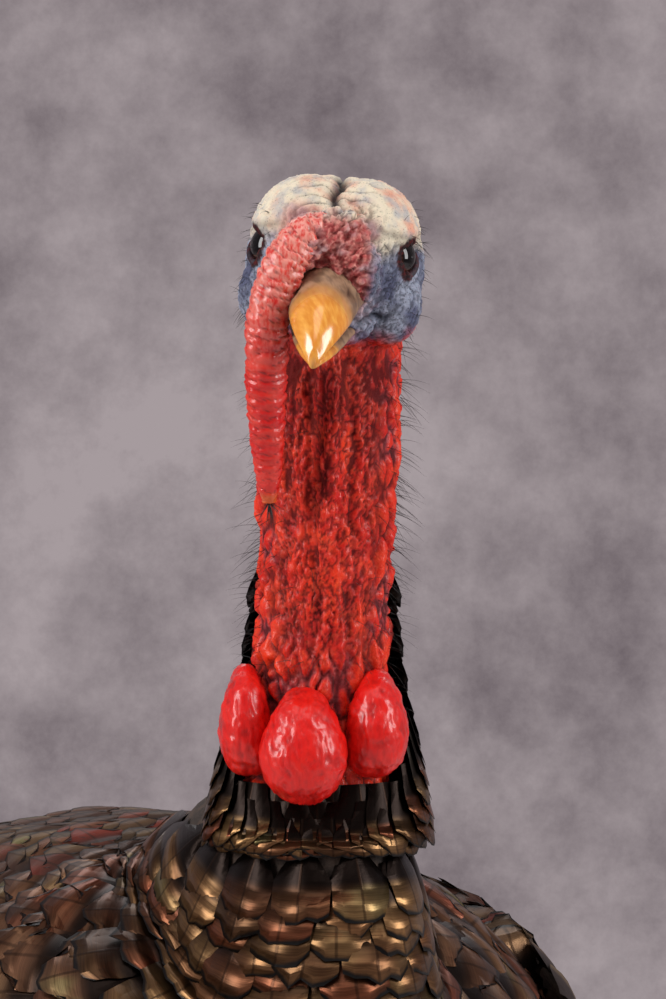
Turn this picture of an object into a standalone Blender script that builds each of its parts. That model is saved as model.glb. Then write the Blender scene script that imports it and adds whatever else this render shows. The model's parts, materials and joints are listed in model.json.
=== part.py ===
"""Gobbler turkey decoy of the stuffer kind: a feathered skin over a foam body form that swivels on a stake,
a head and bare neck that plug into the body and turn, and a tail that tips up and fans out.

Run it with: blender --background --python part.py

The bird faces -Y, +Z is up, and the origin is the point on the stake's axis at ground level. Sizes are
written in millimetres and angles in degrees. The scene is in metres."""

import math

import bmesh
import bpy
from mathutils import Matrix, Vector

MM = 0.001

# Clearances
FIT = 0.3  # between pieces that touch
SEAM = 0.6  # along the seams of the feather skin
LOOSE = 1.5  # round a flange or bracket that passes through the feather skin
CUT_OVER = 2.0  # how far a cutter runs past what it cuts
FAR = 900.0  # half the side of a cutter that stands for a half space

# Body form: a carved foam core. Its shape is BODY_ROWS below.
BODY_LENGTH = 436.0
BODY_WIDTH = 276.0
BODY_DEPTH = 263.0
BODY_FRONT_Y = -186.0
BELLY_Z = 196.0
BODY_ROUNDNESS = 2.3  # superellipse power of a cross-section
COAT = 9.0  # thickness of the skin with its feathers
SHOULDER_SEAM = 0.716  # height of the seam between breast and shoulders, as a share of the depth
CAPE_SEAM = 174.0 / 436.0  # distance of the seam behind the shoulders, as a share of the length
BREAST_SEAM = 126.0 / 436.0

# Wings: two layers each, flight feathers under coverts, folded against the body
WING_GAP = 1.0
FLIGHT_THICKNESS = 3.5
COVERT_THICKNESS = 4.0
WING_WIRE_R = 2.0
WING_WIRE_DEPTH = 24.0  # into the foam

# Neck and head
NECK_SETBACK = 54.0  # from the front of the body to the neck's axis
NECK_RISE = 24.5  # from the top of the body to the seam where the head and neck come off
NECK_TURN = -26.0  # the way the neck faces at rest, about +Z from -Y
HEAD_TURN = -30.0
HEAD_NOD = 2.0
HEAD_ROLL = 5.0
HEAD_RISE = 171.5  # from the neck seam to the middle of the head
HEAD_FORWARD = 12.0
HEAD_ASIDE = 6.0
HEAD_LENGTH = 64.0
HEAD_ROUNDNESS = 2.3
HEAD_WIDTH = 57.0
HEAD_HEIGHT = 58.0
HEAD_FRONT_Y = -26.0
NECK_CORE_R = 15.0
NECK_WIRE_R = 2.5
PLUG_R = 10.5
PLUG_DEPTH = 52.0  # below the neck seam
PLUG_ABOVE = 40.0
SOCKET_WALL = 2.4
SOCKET_FLOOR = 3.0
RING_R = 1.5  # the friction ring's own radius
EYE_R = 6.5
LID_THICKNESS = 1.4
NAPE_FRONT_Y = 2.0

# Ground stake
STAKE_R = 5.0
STAKE_BELOW = 250.0
STAKE_TIP = 32.0
STAKE_TOP = 300.0
STEP_LENGTH = 76.0
STEP_WIDTH = 24.0
STEP_THICKNESS = 4.0
COLLAR_R = 11.0
COLLAR_HEIGHT = 12.0
COLLAR_SCREW_R = 2.0
WASHER_R = 15.0
WASHER_THICKNESS = 2.0
TUBE_WALL = 2.5
TUBE_FLANGE_R = 17.0
TUBE_FLANGE = 3.5
BEARING_LENGTH = 16.0

# Tail
TAIL_DROOP = 25.0  # below level, at rest
HINGE_BACK = 18.0  # from the rear end of the form to the hinge pin
HINGE_UP = 0.5  # of the rear end's height
PIN_R = 3.0
BRACKET_WIDTH = 36.0
BRACKET_PLATE = 3.0
EAR_THICKNESS = 3.0
EAR_R = 8.0
BLOCK_WIDTH = 26.0
BLOCK_LENGTH = 36.0
BLOCK_DEPTH = 8.5
KNUCKLE_R = 7.0
FAN_BOLT_T = 24.0  # from the hinge pin to the fan bolt
FAN_BOLT_R = 3.0
FAN_ROOT_R = 11.0
FAN_LENGTH = 330.0
FAN_SIDES = 4  # feather pairs on each side of the middle pair
FAN_REST_STEP = 1.5
FEATHER_APART = 8.8  # between the two feathers of a pair
BLADE_THICKNESS = 0.9
BLADE_PITCH = 1.4
COVERT_PAD = 5.0

# Shares of the length, of the depth for belly and back heights, and of the half width
BODY_ROWS = (
    (0.000, 0.520, 0.646, 0.12),
    (0.032, 0.389, 0.732, 0.35),
    (0.105, 0.210, 0.870, 0.61),
    (0.209, 0.078, 0.968, 0.80),
    (0.323, 0.016, 1.000, 0.94),
    (0.461, 0.000, 1.000, 1.00),
    (0.610, 0.039, 0.958, 0.96),
    (0.748, 0.140, 0.887, 0.83),
    (0.874, 0.288, 0.802, 0.62),
    (0.966, 0.436, 0.732, 0.41),
    (1.000, 0.500, 0.690, 0.28),
)
# The folded wings keep their width past the rump
WING_ROWS = BODY_ROWS[:6] + (
    (0.610, 0.039, 0.961, 0.97),
    (0.748, 0.125, 0.900, 0.89),
    (0.874, 0.250, 0.852, 0.79),
    (0.966, 0.340, 0.815, 0.68),
    (1.040, 0.390, 0.790, 0.58),
)
# Drop below the neck seam, reach forwards and backwards of the neck's axis, half width
CAPE_ROWS = (
    (0, 34, 62, 34),
    (15, 40, 84, 37),
    (33, 45, 110, 41),
    (63, 50, 130, 48),
    (93, 54, 152, 58),
    (123, 54, 172, 70),
)
# Rise above the neck seam, half width, half depth of the bare neck
NECK_ROWS = (
    (0.7, 22.5, 24.0),
    (40, 21.0, 23.0),
    (90, 21.0, 22.5),
    (125, 22.0, 24.0),
    (150, 23.0, 25.0),
)
# Share of the length, height of the middle, half height and half width as shares of the height and width
HEAD_ROWS = (
    (0.00, -6.0, 0.224, 0.229),
    (0.09, -3.0, 0.336, 0.339),
    (0.25, 0.5, 0.457, 0.458),
    (0.47, 2.0, 0.500, 0.500),
    (0.69, 2.0, 0.474, 0.466),
    (0.84, 2.0, 0.379, 0.373),
    (0.95, 2.0, 0.224, 0.220),
    (1.00, 2.0, 0.090, 0.085),
)
# Distance in front of the head, top, bottom, half width
UPPER_BEAK_ROWS = (
    (0.4, 3.0, -12.0, 11.5),
    (8, 0.0, -14.0, 10.5),
    (16, -4.0, -16.5, 9.0),
    (24, -9.8, -18.6, 6.5),
    (30, -16.0, -23.0, 3.6),
    (33, -22.0, -25.5, 1.2),
)
LOWER_BEAK_ROWS = (
    (0.4, -12.6, -18.5, 10.5),
    (8, -14.6, -20.0, 9.0),
    (16, -17.2, -21.5, 7.0),
    (23, -19.9, -22.4, 3.5),
)
# Rise above the neck seam, middle aside, half width, reach behind the neck's axis of the feathered nape
NAPE_ROWS = (
    (0.8, -5.0, 33.0, 40),
    (18, -3.5, 29.5, 36),
    (36, -1.5, 27.0, 32),
    (54, 0.5, 25.5, 29),
    (70, 2.0, 24.5, 26.5),
)
# The snood's line in the head's own axes, and its radius there
SNOOD_ROWS = (
    (0, -24, 15, 6.0),
    (-6, -32, 11, 6.5),
    (-13.5, -36, 1, 6.5),
    (-16, -36, -18, 6.6),
    (-15, -30, -38, 6.2),
    (-13.5, -24, -56, 5.0),
    (-12.5, -20, -70, 2.2),
)
# The wing's outline: distance along and height, as shares of the body's length and depth
FLIGHT_OUTLINE = (
    (0.26, 0.78),
    (0.40, 0.90),
    (0.70, 0.90),
    (0.90, 0.80),
    (1.03, 0.66),
    (1.02, 0.52),
    (0.80, 0.36),
    (0.55, 0.26),
    (0.34, 0.30),
    (0.25, 0.48),
)
COVERT_OUTLINE = (
    (0.21, 0.76),
    (0.34, 0.90),
    (0.58, 0.92),
    (0.76, 0.84),
    (0.80, 0.66),
    (0.66, 0.46),
    (0.44, 0.37),
    (0.27, 0.42),
    (0.20, 0.58),
)
# Side of the neck, distance in front of its axis, height above the seam, then the three half sizes
CARUNCLES = {
    "middle_caruncle": (-4, 32, 24.0, 14.0, 12.0, 15.5),
    "right_caruncle": (-22, 19, 30.5, 8.5, 11.0, 15.0),
    "left_caruncle": (18.5, 22, 30.0, 10.0, 11.5, 14.5),
}

BODY_REAR_Y = BODY_FRONT_Y + BODY_LENGTH
BODY_TOP_Z = BELLY_Z + BODY_DEPTH
NECK_Y = BODY_FRONT_Y + NECK_SETBACK
NECK_SEAM_Z = BODY_TOP_Z + NECK_RISE
SHOULDER_SEAM_Z = BELLY_Z + SHOULDER_SEAM * BODY_DEPTH
CAPE_SEAM_Y = BODY_FRONT_Y + CAPE_SEAM * BODY_LENGTH
BREAST_SEAM_Y = BODY_FRONT_Y + BREAST_SEAM * BODY_LENGTH
TUBE_INNER_R = STAKE_R + FIT
TUBE_OUTER_R = TUBE_INNER_R + TUBE_WALL
SOCKET_INNER_R = PLUG_R + FIT
SOCKET_OUTER_R = SOCKET_INNER_R + SOCKET_WALL
PIN_Y = BODY_REAR_Y + HINGE_BACK
PIN_Z = BELLY_Z + BODY_DEPTH * (
    BODY_ROWS[-1][1] + HINGE_UP * (BODY_ROWS[-1][2] - BODY_ROWS[-1][1])
)
FAN_LAYERS = 1 + 2 * FAN_SIDES
FAN_STACK = FAN_LAYERS * BLADE_PITCH

NECK_AXIS = Matrix.Translation((0, NECK_Y * MM, NECK_SEAM_Z * MM))
NECK_FRAME = NECK_AXIS @ Matrix.Rotation(math.radians(NECK_TURN), 4, "Z")
HEAD_PLACE = NECK_FRAME @ Vector((HEAD_ASIDE * MM, 0, HEAD_RISE * MM))
HEAD_FRAME = (
    Matrix.Translation(HEAD_PLACE)
    @ Matrix.Rotation(math.radians(HEAD_TURN), 4, "Z")
    @ Matrix.Translation((0, -HEAD_FORWARD * MM, 0))
    @ Matrix.Rotation(math.radians(HEAD_NOD), 4, "X")
    @ Matrix.Rotation(math.radians(HEAD_ROLL), 4, "Y")
)
# Along the tail is +Y, up through the fan is +Z
TAIL_FRAME = Matrix.Translation((0, PIN_Y * MM, PIN_Z * MM)) @ Matrix.Rotation(
    math.radians(-TAIL_DROOP), 4, "X"
)

FINISHES = {  # colour, roughness, metallic
    "foam": ((0.62, 0.53, 0.33), 0.9, 0.0),
    "feather": ((0.16, 0.09, 0.055), 0.5, 0.3),
    "wing_feather": ((0.12, 0.075, 0.05), 0.6, 0.1),
    "tail_feather": ((0.2, 0.1, 0.05), 0.6, 0.1),
    "skin_red": ((0.75, 0.06, 0.03), 0.35, 0.0),
    "skin_blue": ((0.33, 0.36, 0.5), 0.5, 0.0),
    "horn": ((0.62, 0.31, 0.05), 0.3, 0.0),
    "eye_glass": ((0.02, 0.012, 0.01), 0.05, 0.0),
    "bristle": ((0.015, 0.012, 0.01), 0.6, 0.0),
    "steel": ((0.45, 0.45, 0.44), 0.35, 0.9),
    "black_paint": ((0.03, 0.03, 0.03), 0.5, 0.3),
    "nylon": ((0.75, 0.73, 0.68), 0.5, 0.0),
    "rubber": ((0.03, 0.03, 0.03), 0.8, 0.0),
    "epoxy": ((0.3, 0.29, 0.26), 0.6, 0.0),
}


# ---------------------------------------------------------------- modelling helpers


def finish_of(slot):
    """The material of this name, made once."""
    found = bpy.data.materials.get(slot)
    if found:
        return found
    made = bpy.data.materials.new(slot)
    made.use_nodes = True
    shader = made.node_tree.nodes["Principled BSDF"]
    colour, roughness, metallic = FINISHES[slot]
    shader.inputs["Base Color"].default_value = (*colour, 1)
    shader.inputs["Roughness"].default_value = roughness
    shader.inputs["Metallic"].default_value = metallic
    return made


def piece(name, bm, slot=None, frame=None):
    """An object from bm, whose points are in millimetres in frame's axes. With no slot it's a cutter."""
    bmesh.ops.triangulate(bm, faces=bm.faces)
    bmesh.ops.recalc_face_normals(bm, faces=bm.faces)
    bmesh.ops.scale(bm, vec=(MM, MM, MM), verts=bm.verts)
    mesh = bpy.data.meshes.new(name)
    bm.to_mesh(mesh)
    bm.free()
    obj = bpy.data.objects.new(name, mesh)
    bpy.context.scene.collection.objects.link(obj)
    if frame is not None:
        obj.matrix_world = frame
    if slot:
        mesh.materials.append(finish_of(slot))
        mesh.shade_smooth()
        mesh.set_sharp_from_angle(angle=math.radians(35))
    else:
        obj.hide_render = True
        obj.display_type = "WIRE"
    return obj


def between(rows, share):
    """The row at this share of the way through a table, on a smooth curve through its rows."""
    at = share * (len(rows) - 1)
    i = min(int(at), len(rows) - 2)
    t = at - i
    p = [rows[min(max(k, 0), len(rows) - 1)] for k in (i - 1, i, i + 1, i + 2)]
    return [
        0.5 * (2 * b + (c - a) * t + (2 * a - 5 * b + 4 * c - d) * t**2 + (3 * b - a - 3 * c + d) * t**3)
        for a, b, c, d in zip(*p)
    ]


def smooth_rows(rows, count):
    return [between(rows, i / (count - 1)) for i in range(count)]


def oval(half_a, half_b, sides, power=2.0):
    """Points round a superellipse."""
    points = []
    for i in range(sides):
        c, s = math.cos(2 * math.pi * i / sides), math.sin(2 * math.pi * i / sides)
        points.append(
            (
                half_a * math.copysign(abs(c) ** (2 / power), c),
                half_b * math.copysign(abs(s) ** (2 / power), s),
            )
        )
    return points


def lofted(name, rings, slot=None, frame=None):
    """A solid through closed rings of the same count, capped at both ends."""
    bm = bmesh.new()
    rows = [[bm.verts.new(p) for p in ring] for ring in rings]
    for low, high in zip(rows, rows[1:]):
        for i in range(len(low)):
            j = (i + 1) % len(low)
            bm.faces.new((low[i], low[j], high[j], high[i]))
    bm.faces.new(rows[0])
    bm.faces.new(rows[-1])
    return piece(name, bm, slot, frame)


def turned(name, profile, slot=None, frame=None, sides=20):
    """A solid of revolution about Z. Profile points are (radius, height). A loop off the axis is a ring."""
    bm = bmesh.new()
    columns = []
    for radius, height in profile:
        if radius == 0:
            columns.append([bm.verts.new((0, 0, height))] * sides)
        else:
            turn = [2 * math.pi * i / sides for i in range(sides)]
            columns.append([bm.verts.new((radius * math.cos(a), radius * math.sin(a), height)) for a in turn])
    pairs = list(zip(columns, columns[1:]))
    if profile[0][0] > 0:
        pairs.append((columns[-1], columns[0]))
    for low, high in pairs:
        for i in range(sides):
            j = (i + 1) % sides
            corners = list(dict.fromkeys((low[i], low[j], high[j], high[i])))
            if len(corners) > 2:
                bm.faces.new(corners)
    return piece(name, bm, slot, frame)


def rod(name, radius, low, high, slot=None, frame=None, sides=20):
    return turned(name, [(0, low), (radius, low), (radius, high), (0, high)], slot, frame, sides)


def box(name, low, high, slot=None, frame=None):
    bm = bmesh.new()
    bmesh.ops.create_cube(bm, size=1)
    for v in bm.verts:
        v.co = Vector([low[k] if v.co[k] < 0 else high[k] for k in range(3)])
    return piece(name, bm, slot, frame)


def ball(name, centre, halves, slot=None, frame=None, around=14, rows=8):
    bm = bmesh.new()
    bmesh.ops.create_uvsphere(bm, u_segments=around, v_segments=rows, radius=1)
    for v in bm.verts:
        v.co = Vector([centre[k] + v.co[k] * halves[k] for k in range(3)])
    return piece(name, bm, slot, frame)


def slab(name, outline, low, high, slot=None, frame=None, across="Z"):
    """An outline extruded along Z, or along X, where the outline's points are (y, z)."""
    bm = bmesh.new()
    place = (lambda a, b, h: (h, a, b)) if across == "X" else (lambda a, b, h: (a, b, h))
    rows = [[bm.verts.new(place(a, b, h)) for a, b in outline] for h in (low, high)]
    for i in range(len(outline)):
        j = (i + 1) % len(outline)
        bm.faces.new((rows[0][i], rows[0][j], rows[1][j], rows[1][i]))
    bm.faces.new(rows[0])
    bm.faces.new(rows[1])
    return piece(name, bm, slot, frame)


def swept(name, rows, slot=None, frame=None, sides=10, flat=1.0, grow=0.0, steps=11):
    """A round bar along a smooth line. Rows are (x, y, z, radius)."""
    line = smooth_rows(rows, steps)
    rings = []
    for i, row in enumerate(line):
        here = Vector(row[:3])
        along = (Vector(line[min(i + 1, steps - 1)][:3]) - Vector(line[max(i - 1, 0)][:3])).normalized()
        side = along.cross(Vector((0, 1, 0))).normalized()
        front = side.cross(along).normalized()
        radius = row[3] + grow
        rings.append([here + side * a + front * b for a, b in oval(radius, radius * flat, sides)])
    return lofted(name, rings, slot, frame)


def change(obj, operation, other):
    """A Boolean with another object."""
    modifier = obj.modifiers.new(f"{operation.lower()} {other.name}", "BOOLEAN")
    modifier.operation = operation
    modifier.solver = "EXACT"
    modifier.object = other
    return obj


def cut(obj, *others):
    for other in others:
        change(obj, "DIFFERENCE", other)
    return obj


def frame_at(x, y, z, axis="Z"):
    """A frame at this point whose Z runs along the named row axis."""
    turn = {"Z": (0, "X"), "X": (90, "Y"), "Y": (-90, "X")}[axis]
    return Matrix.Translation((x * MM, y * MM, z * MM)) @ Matrix.Rotation(math.radians(turn[0]), 4, turn[1])


# ---------------------------------------------------------------- shapes that several pieces share


def body_ring(row, grow, sides):
    along, low, high, half = row
    y = BODY_FRONT_Y + along * BODY_LENGTH
    y += grow * (2 * along - 1)
    middle = BELLY_Z + BODY_DEPTH * (low + high) / 2
    half_height = BODY_DEPTH * (high - low) / 2 + grow
    return [
        (x, y, middle + z)
        for x, z in oval(BODY_WIDTH / 2 * half + grow, half_height, sides, BODY_ROUNDNESS)
    ]


def body_solid(name, grow, rows=BODY_ROWS, sides=20, steps=12):
    return lofted(name, [body_ring(row, grow, sides) for row in smooth_rows(rows, steps)])


def body_half_width(y, z, rows=BODY_ROWS):
    """How far the form's surface is from the middle plane at this place."""
    table = smooth_rows(rows, 200)
    along = (y - BODY_FRONT_Y) / BODY_LENGTH
    row = min(table, key=lambda r: abs(r[0] - along))
    middle = BELLY_Z + BODY_DEPTH * (row[1] + row[2]) / 2
    share = min(abs(z - middle) / (BODY_DEPTH * (row[2] - row[1]) / 2), 1)
    return BODY_WIDTH / 2 * row[3] * (1 - share**BODY_ROUNDNESS) ** (1 / BODY_ROUNDNESS)


def cape_solid(name, grow, top, sides=18, steps=7):
    """The feathered base of the neck, whose foot is inside the body."""
    rings = []
    for drop, front, back, half in smooth_rows(CAPE_ROWS, steps):
        middle = NECK_Y + (back - front) / 2
        z = NECK_SEAM_Z - max(drop, -top)
        rings.append([(x, middle + y, z) for x, y in oval(half + grow, (front + back) / 2 + grow, sides)])
    return lofted(name, rings)


def neck_solid(name, grow, sides=16, steps=6, slot=None):
    """The bare neck's outside, which leans a little so that its top is under the head."""
    rings = []
    for rise, half_width, half_depth in smooth_rows(NECK_ROWS, steps):
        lean = HEAD_ASIDE * rise / HEAD_RISE
        ring = oval(half_width + grow, half_depth + grow, sides)
        rings.append([(lean + x, y, rise) for x, y in ring])
    return lofted(name, rings, slot, NECK_FRAME)


def head_solid(name, grow, slot=None, sides=20, steps=10):
    rings = []
    for along, middle, half_height, half_width in smooth_rows(HEAD_ROWS, steps):
        y = HEAD_FRONT_Y + along * HEAD_LENGTH + grow * (2 * along - 1)
        ring = oval(half_width * HEAD_WIDTH + grow, half_height * HEAD_HEIGHT + grow, sides, HEAD_ROUNDNESS)
        rings.append([(x, y, middle + z) for x, z in ring])
    return lofted(name, rings, slot, HEAD_FRAME)


# ---------------------------------------------------------------- body, skin and wings


def make_form_and_skin():
    form = body_solid("body_form", 0)
    form.hide_render = False
    form.display_type = "TEXTURED"
    form.data.materials.append(finish_of("foam"))
    change(form, "UNION", cape_solid("neck_stump", -COAT, 0))

    outside = change(body_solid("coat_outside", COAT), "UNION", cape_solid("cape_outside", 0, 0))
    inside = change(
        body_solid("coat_inside", FIT), "UNION", cape_solid("cape_inside", FIT - COAT, 0)
    )
    half = SEAM / 2
    front = (-FAR, CAPE_SEAM_Y - half)
    rear = (CAPE_SEAM_Y + half, FAR)
    above = (SHOULDER_SEAM_Z + half, FAR + NECK_SEAM_Z)
    below = (-FAR, SHOULDER_SEAM_Z - half)
    panels = {
        "shoulder_cape": ((-FAR, front[0], above[0]), (FAR, front[1], above[1])),
        "back_skin": ((-FAR, rear[0], above[0]), (FAR, rear[1], above[1])),
        "breast_skin": ((-FAR, -FAR, below[0]), (FAR, BREAST_SEAM_Y - half, below[1])),
        "left_flank_skin": ((half, BREAST_SEAM_Y + half, below[0]), (FAR, FAR, below[1])),
        "right_flank_skin": ((-FAR, BREAST_SEAM_Y + half, below[0]), (-half, FAR, below[1])),
    }
    skins = {}
    for name, (low, high) in panels.items():
        skin = box(name, low, high, "feather")
        change(skin, "INTERSECT", outside)
        skins[name] = cut(skin, inside)
    return form, skins


def wing_layer(name, outline, start, thickness, side):
    """A piece of the shell that lies between two offsets of the wing's hull, inside the outline."""
    points = [(BODY_FRONT_Y + a * BODY_LENGTH, BELLY_Z + b * BODY_DEPTH) for a, b in outline]
    count = 3 * len(points)
    closed = points[-1:] + points + points[:2]
    smooth = []
    for i in range(len(points)):
        for k in range(3):
            smooth.append(between(closed[i : i + 4], (1 + k / 3) / 3))
    reach = sorted((side * 0.1 * BODY_WIDTH, side * (BODY_WIDTH / 2 + 4 * COAT)))
    layer = slab(name, smooth[:count], reach[0], reach[1], "wing_feather", across="X")
    change(layer, "INTERSECT", body_solid(name + "_outside", start + thickness, WING_ROWS))
    return cut(layer, body_solid(name + "_inside", start, WING_ROWS))


def make_wings(form, skins):
    start = COAT + WING_GAP
    cover = start + FLIGHT_THICKNESS + FIT
    for side, word in ((1, "left"), (-1, "right")):
        flight = wing_layer(f"{word}_flight_feathers", FLIGHT_OUTLINE, start, FLIGHT_THICKNESS, side)
        coverts = wing_layer(f"{word}_wing_coverts", COVERT_OUTLINE, cover, COVERT_THICKNESS, side)
        places = {
            "front": (BODY_FRONT_Y + 0.34 * BODY_LENGTH, BELLY_Z + 0.78 * BODY_DEPTH),
            "rear": (BODY_FRONT_Y + 0.60 * BODY_LENGTH, BELLY_Z + 0.60 * BODY_DEPTH),
        }
        for where, (y, z) in places.items():
            surface = body_half_width(y, z)
            ends = (surface - WING_WIRE_DEPTH, surface + cover + COVERT_THICKNESS / 2)
            frame = frame_at(0, y, z, "X")
            low, high = sorted(side * e for e in ends)
            rod(f"{word}_{where}_wing_wire", WING_WIRE_R, low, high, "steel", frame, 12)
            hole = rod(
                f"{word}_{where}_wire_hole",
                WING_WIRE_R + FIT,
                low - FIT,
                high + FIT,
                frame=frame,
                sides=12,
            )
            skin = skins["shoulder_cape"] if where == "front" else skins[f"{word}_flank_skin"]
            cut(form, hole)
            cut(skin, hole)
            cut(flight, hole)
            cut(coverts, hole)


def make_beard(form, skins):
    """The beard is bound round a root that is glued into the breast."""
    height = BELLY_Z + 0.583 * BODY_DEPTH
    face = BODY_FRONT_Y - COAT
    rows = [
        (0, face + 24, height, 4.0),
        (0, face + 4, height, 4.6),
        (0, face - 6, height - 8, 6.0),
        (0, face - 9, height - 40, 8.0),
        (0, face - 8, height - 100, 7.5),
        (0, face - 4, height - 160, 5.5),
        (0, face - 1, height - 195, 2.2),
    ]
    beard = swept_in_plane("beard", rows, "bristle", 0.62)
    hole = swept_in_plane("beard_hole", rows, None, 0.62, 0.5)
    cut(skins["breast_skin"], hole)
    cut(form, hole)
    return beard


def swept_in_plane(name, rows, slot, flat, grow=0.0, steps=12, sides=10):
    """A bar along a line in the middle plane, wider across the plane than along it."""
    line = smooth_rows(rows, steps)
    rings = []
    for i, row in enumerate(line):
        along = (Vector(line[min(i + 1, steps - 1)][:3]) - Vector(line[max(i - 1, 0)][:3])).normalized()
        front = along.cross(Vector((1, 0, 0))).normalized()
        ring = oval(row[3] + grow, row[3] * flat + grow, sides)
        rings.append([Vector((a, 0, 0)) + Vector(row[:3]) + front * b for a, b in ring])
    return lofted(name, rings, slot)


# ---------------------------------------------------------------- stake and its socket


def make_stake(form, skins):
    top = STAKE_TOP
    turned(
        "ground_stake",
        [
            (0, -STAKE_BELOW),
            (STAKE_R, STAKE_TIP - STAKE_BELOW),
            (STAKE_R, top - STAKE_R),
            (STAKE_R * 0.7, top - STAKE_R * 0.3),
            (0, top),
        ],
        "steel",
    )
    hole = rod("stake_hole", STAKE_R + FIT, -CUT_OVER, STEP_THICKNESS + CUT_OVER)
    step = box(
        "foot_step",
        (-STEP_WIDTH / 2, -STEP_WIDTH / 2, 0),
        (STEP_LENGTH - STEP_WIDTH / 2, STEP_WIDTH / 2, STEP_THICKNESS),
        "black_paint",
    )
    cut(step, hole)

    flange_low = BELLY_Z
    washer_top = flange_low - FIT
    washer_low = washer_top - WASHER_THICKNESS
    ring_bore = STAKE_R + FIT
    turned(
        "thrust_washer",
        [(ring_bore, washer_low), (WASHER_R, washer_low), (WASHER_R, washer_top), (ring_bore, washer_top)],
        "nylon",
    )
    collar_top = washer_low - FIT
    collar_low = collar_top - COLLAR_HEIGHT
    collar = turned(
        "stake_collar",
        [(ring_bore, collar_low), (COLLAR_R, collar_low), (COLLAR_R, collar_top), (ring_bore, collar_top)],
        "steel",
    )
    screw_z = (collar_low + collar_top) / 2
    frame = frame_at(0, 0, screw_z, "X")
    cut(collar, rod("collar_screw_hole", COLLAR_SCREW_R + FIT, 0, COLLAR_R + CUT_OVER, frame=frame, sides=12))
    rod("collar_screw", COLLAR_SCREW_R, ring_bore + FIT, COLLAR_R + 3, "steel", frame, 12)

    flange_top = flange_low + TUBE_FLANGE
    bearing_low = top + FIT
    tube_top = bearing_low + BEARING_LENGTH
    turned(
        "stake_socket_tube",
        [
            (TUBE_INNER_R, flange_low),
            (TUBE_FLANGE_R, flange_low),
            (TUBE_FLANGE_R, flange_top),
            (TUBE_OUTER_R, flange_top),
            (TUBE_OUTER_R, tube_top),
            (TUBE_INNER_R, tube_top),
        ],
        "nylon",
    )
    rod("socket_bearing_plug", TUBE_INNER_R - FIT, bearing_low, tube_top, "nylon")
    bore = turned(
        "socket_bore",
        [
            (0, -CUT_OVER),
            (TUBE_FLANGE_R + FIT, -CUT_OVER),
            (TUBE_FLANGE_R + FIT, flange_top + FIT),
            (TUBE_OUTER_R + FIT, flange_top + FIT),
            (TUBE_OUTER_R + FIT, tube_top + FIT),
            (0, tube_top + FIT),
        ],
    )
    cut(form, bore)
    window = rod("flange_window", TUBE_FLANGE_R + LOOSE, 0, flange_top + COAT)
    for word in ("left", "right"):
        cut(skins[f"{word}_flank_skin"], window)


# ---------------------------------------------------------------- neck and head


def make_neck(form, skins):
    axis = NECK_AXIS
    stump_top = -FIT
    ring_z = -0.4 * PLUG_DEPTH
    socket_low = -PLUG_DEPTH - FIT - SOCKET_FLOOR
    turned(
        "neck_socket",
        [
            (0, socket_low),
            (SOCKET_OUTER_R, socket_low),
            (SOCKET_OUTER_R, stump_top - FIT),
            (SOCKET_INNER_R, stump_top - FIT),
            (SOCKET_INNER_R, socket_low + SOCKET_FLOOR),
            (0, socket_low + SOCKET_FLOOR),
        ],
        "nylon",
        axis,
    )
    bore = rod("neck_socket_bore", SOCKET_OUTER_R + FIT, socket_low - FIT, CUT_OVER, frame=axis)
    cut(form, bore)
    cut(skins["shoulder_cape"], bore)
    wire_low = PLUG_ABOVE - 30
    wire_bore = NECK_WIRE_R + FIT
    groove = PLUG_R - 2 * RING_R
    turned(
        "neck_plug",
        [
            (0, -PLUG_DEPTH),
            (PLUG_R, -PLUG_DEPTH),
            (PLUG_R, ring_z - RING_R - FIT),
            (groove, ring_z - RING_R - FIT),
            (groove, ring_z + RING_R + FIT),
            (PLUG_R, ring_z + RING_R + FIT),
            (PLUG_R, PLUG_ABOVE),
            (wire_bore, PLUG_ABOVE),
            (wire_bore, wire_low),
            (0, wire_low),
        ],
        "black_paint",
        axis,
    )
    inner, outer = groove + FIT, SOCKET_INNER_R - FIT
    section = oval((outer - inner) / 2, RING_R, 6)
    ring = [((inner + outer) / 2 + r, ring_z + z) for r, z in section]
    turned("neck_friction_ring", ring, "rubber", axis)

    skull_room = head_solid("skull_room", FIT)
    core = rod("neck_core", NECK_CORE_R, NECK_ROWS[0][0], NECK_ROWS[-1][0], "foam", axis)
    cut(core, rod("core_plug_hole", PLUG_R + FIT, -CUT_OVER, PLUG_ABOVE + FIT, frame=axis))
    wire_top = HEAD_RISE - 0.2 * HEAD_HEIGHT
    wire_hole = rod("wire_hole", wire_bore, PLUG_ABOVE - CUT_OVER, wire_top + FIT, frame=axis, sides=12)
    cut(core, wire_hole, skull_room)
    rod("neck_wire", NECK_WIRE_R, wire_low + FIT, wire_top, "steel", axis, 12)

    skin = neck_solid("neck_skin", 0, slot="skin_red")
    core_hole = rod("core_hole", NECK_CORE_R + FIT, -CUT_OVER, NECK_ROWS[-1][0] + CUT_OVER, frame=axis)
    cut(skin, core_hole, skull_room)

    neck_room = neck_solid("neck_room", FIT)
    rings = []
    for rise, aside, half, back in smooth_rows(NAPE_ROWS, 6):
        rings.append([(aside + x, y, rise) for x, y in oval(half, back, 18)])
    nape = lofted("nape_feathers", rings, "feather", NECK_FRAME)
    cut(nape, box("nape_front", (-FAR, -FAR, -FAR), (FAR, NAPE_FRONT_Y, FAR), frame=NECK_FRAME), neck_room)
    return skull_room, neck_room, wire_hole


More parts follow.
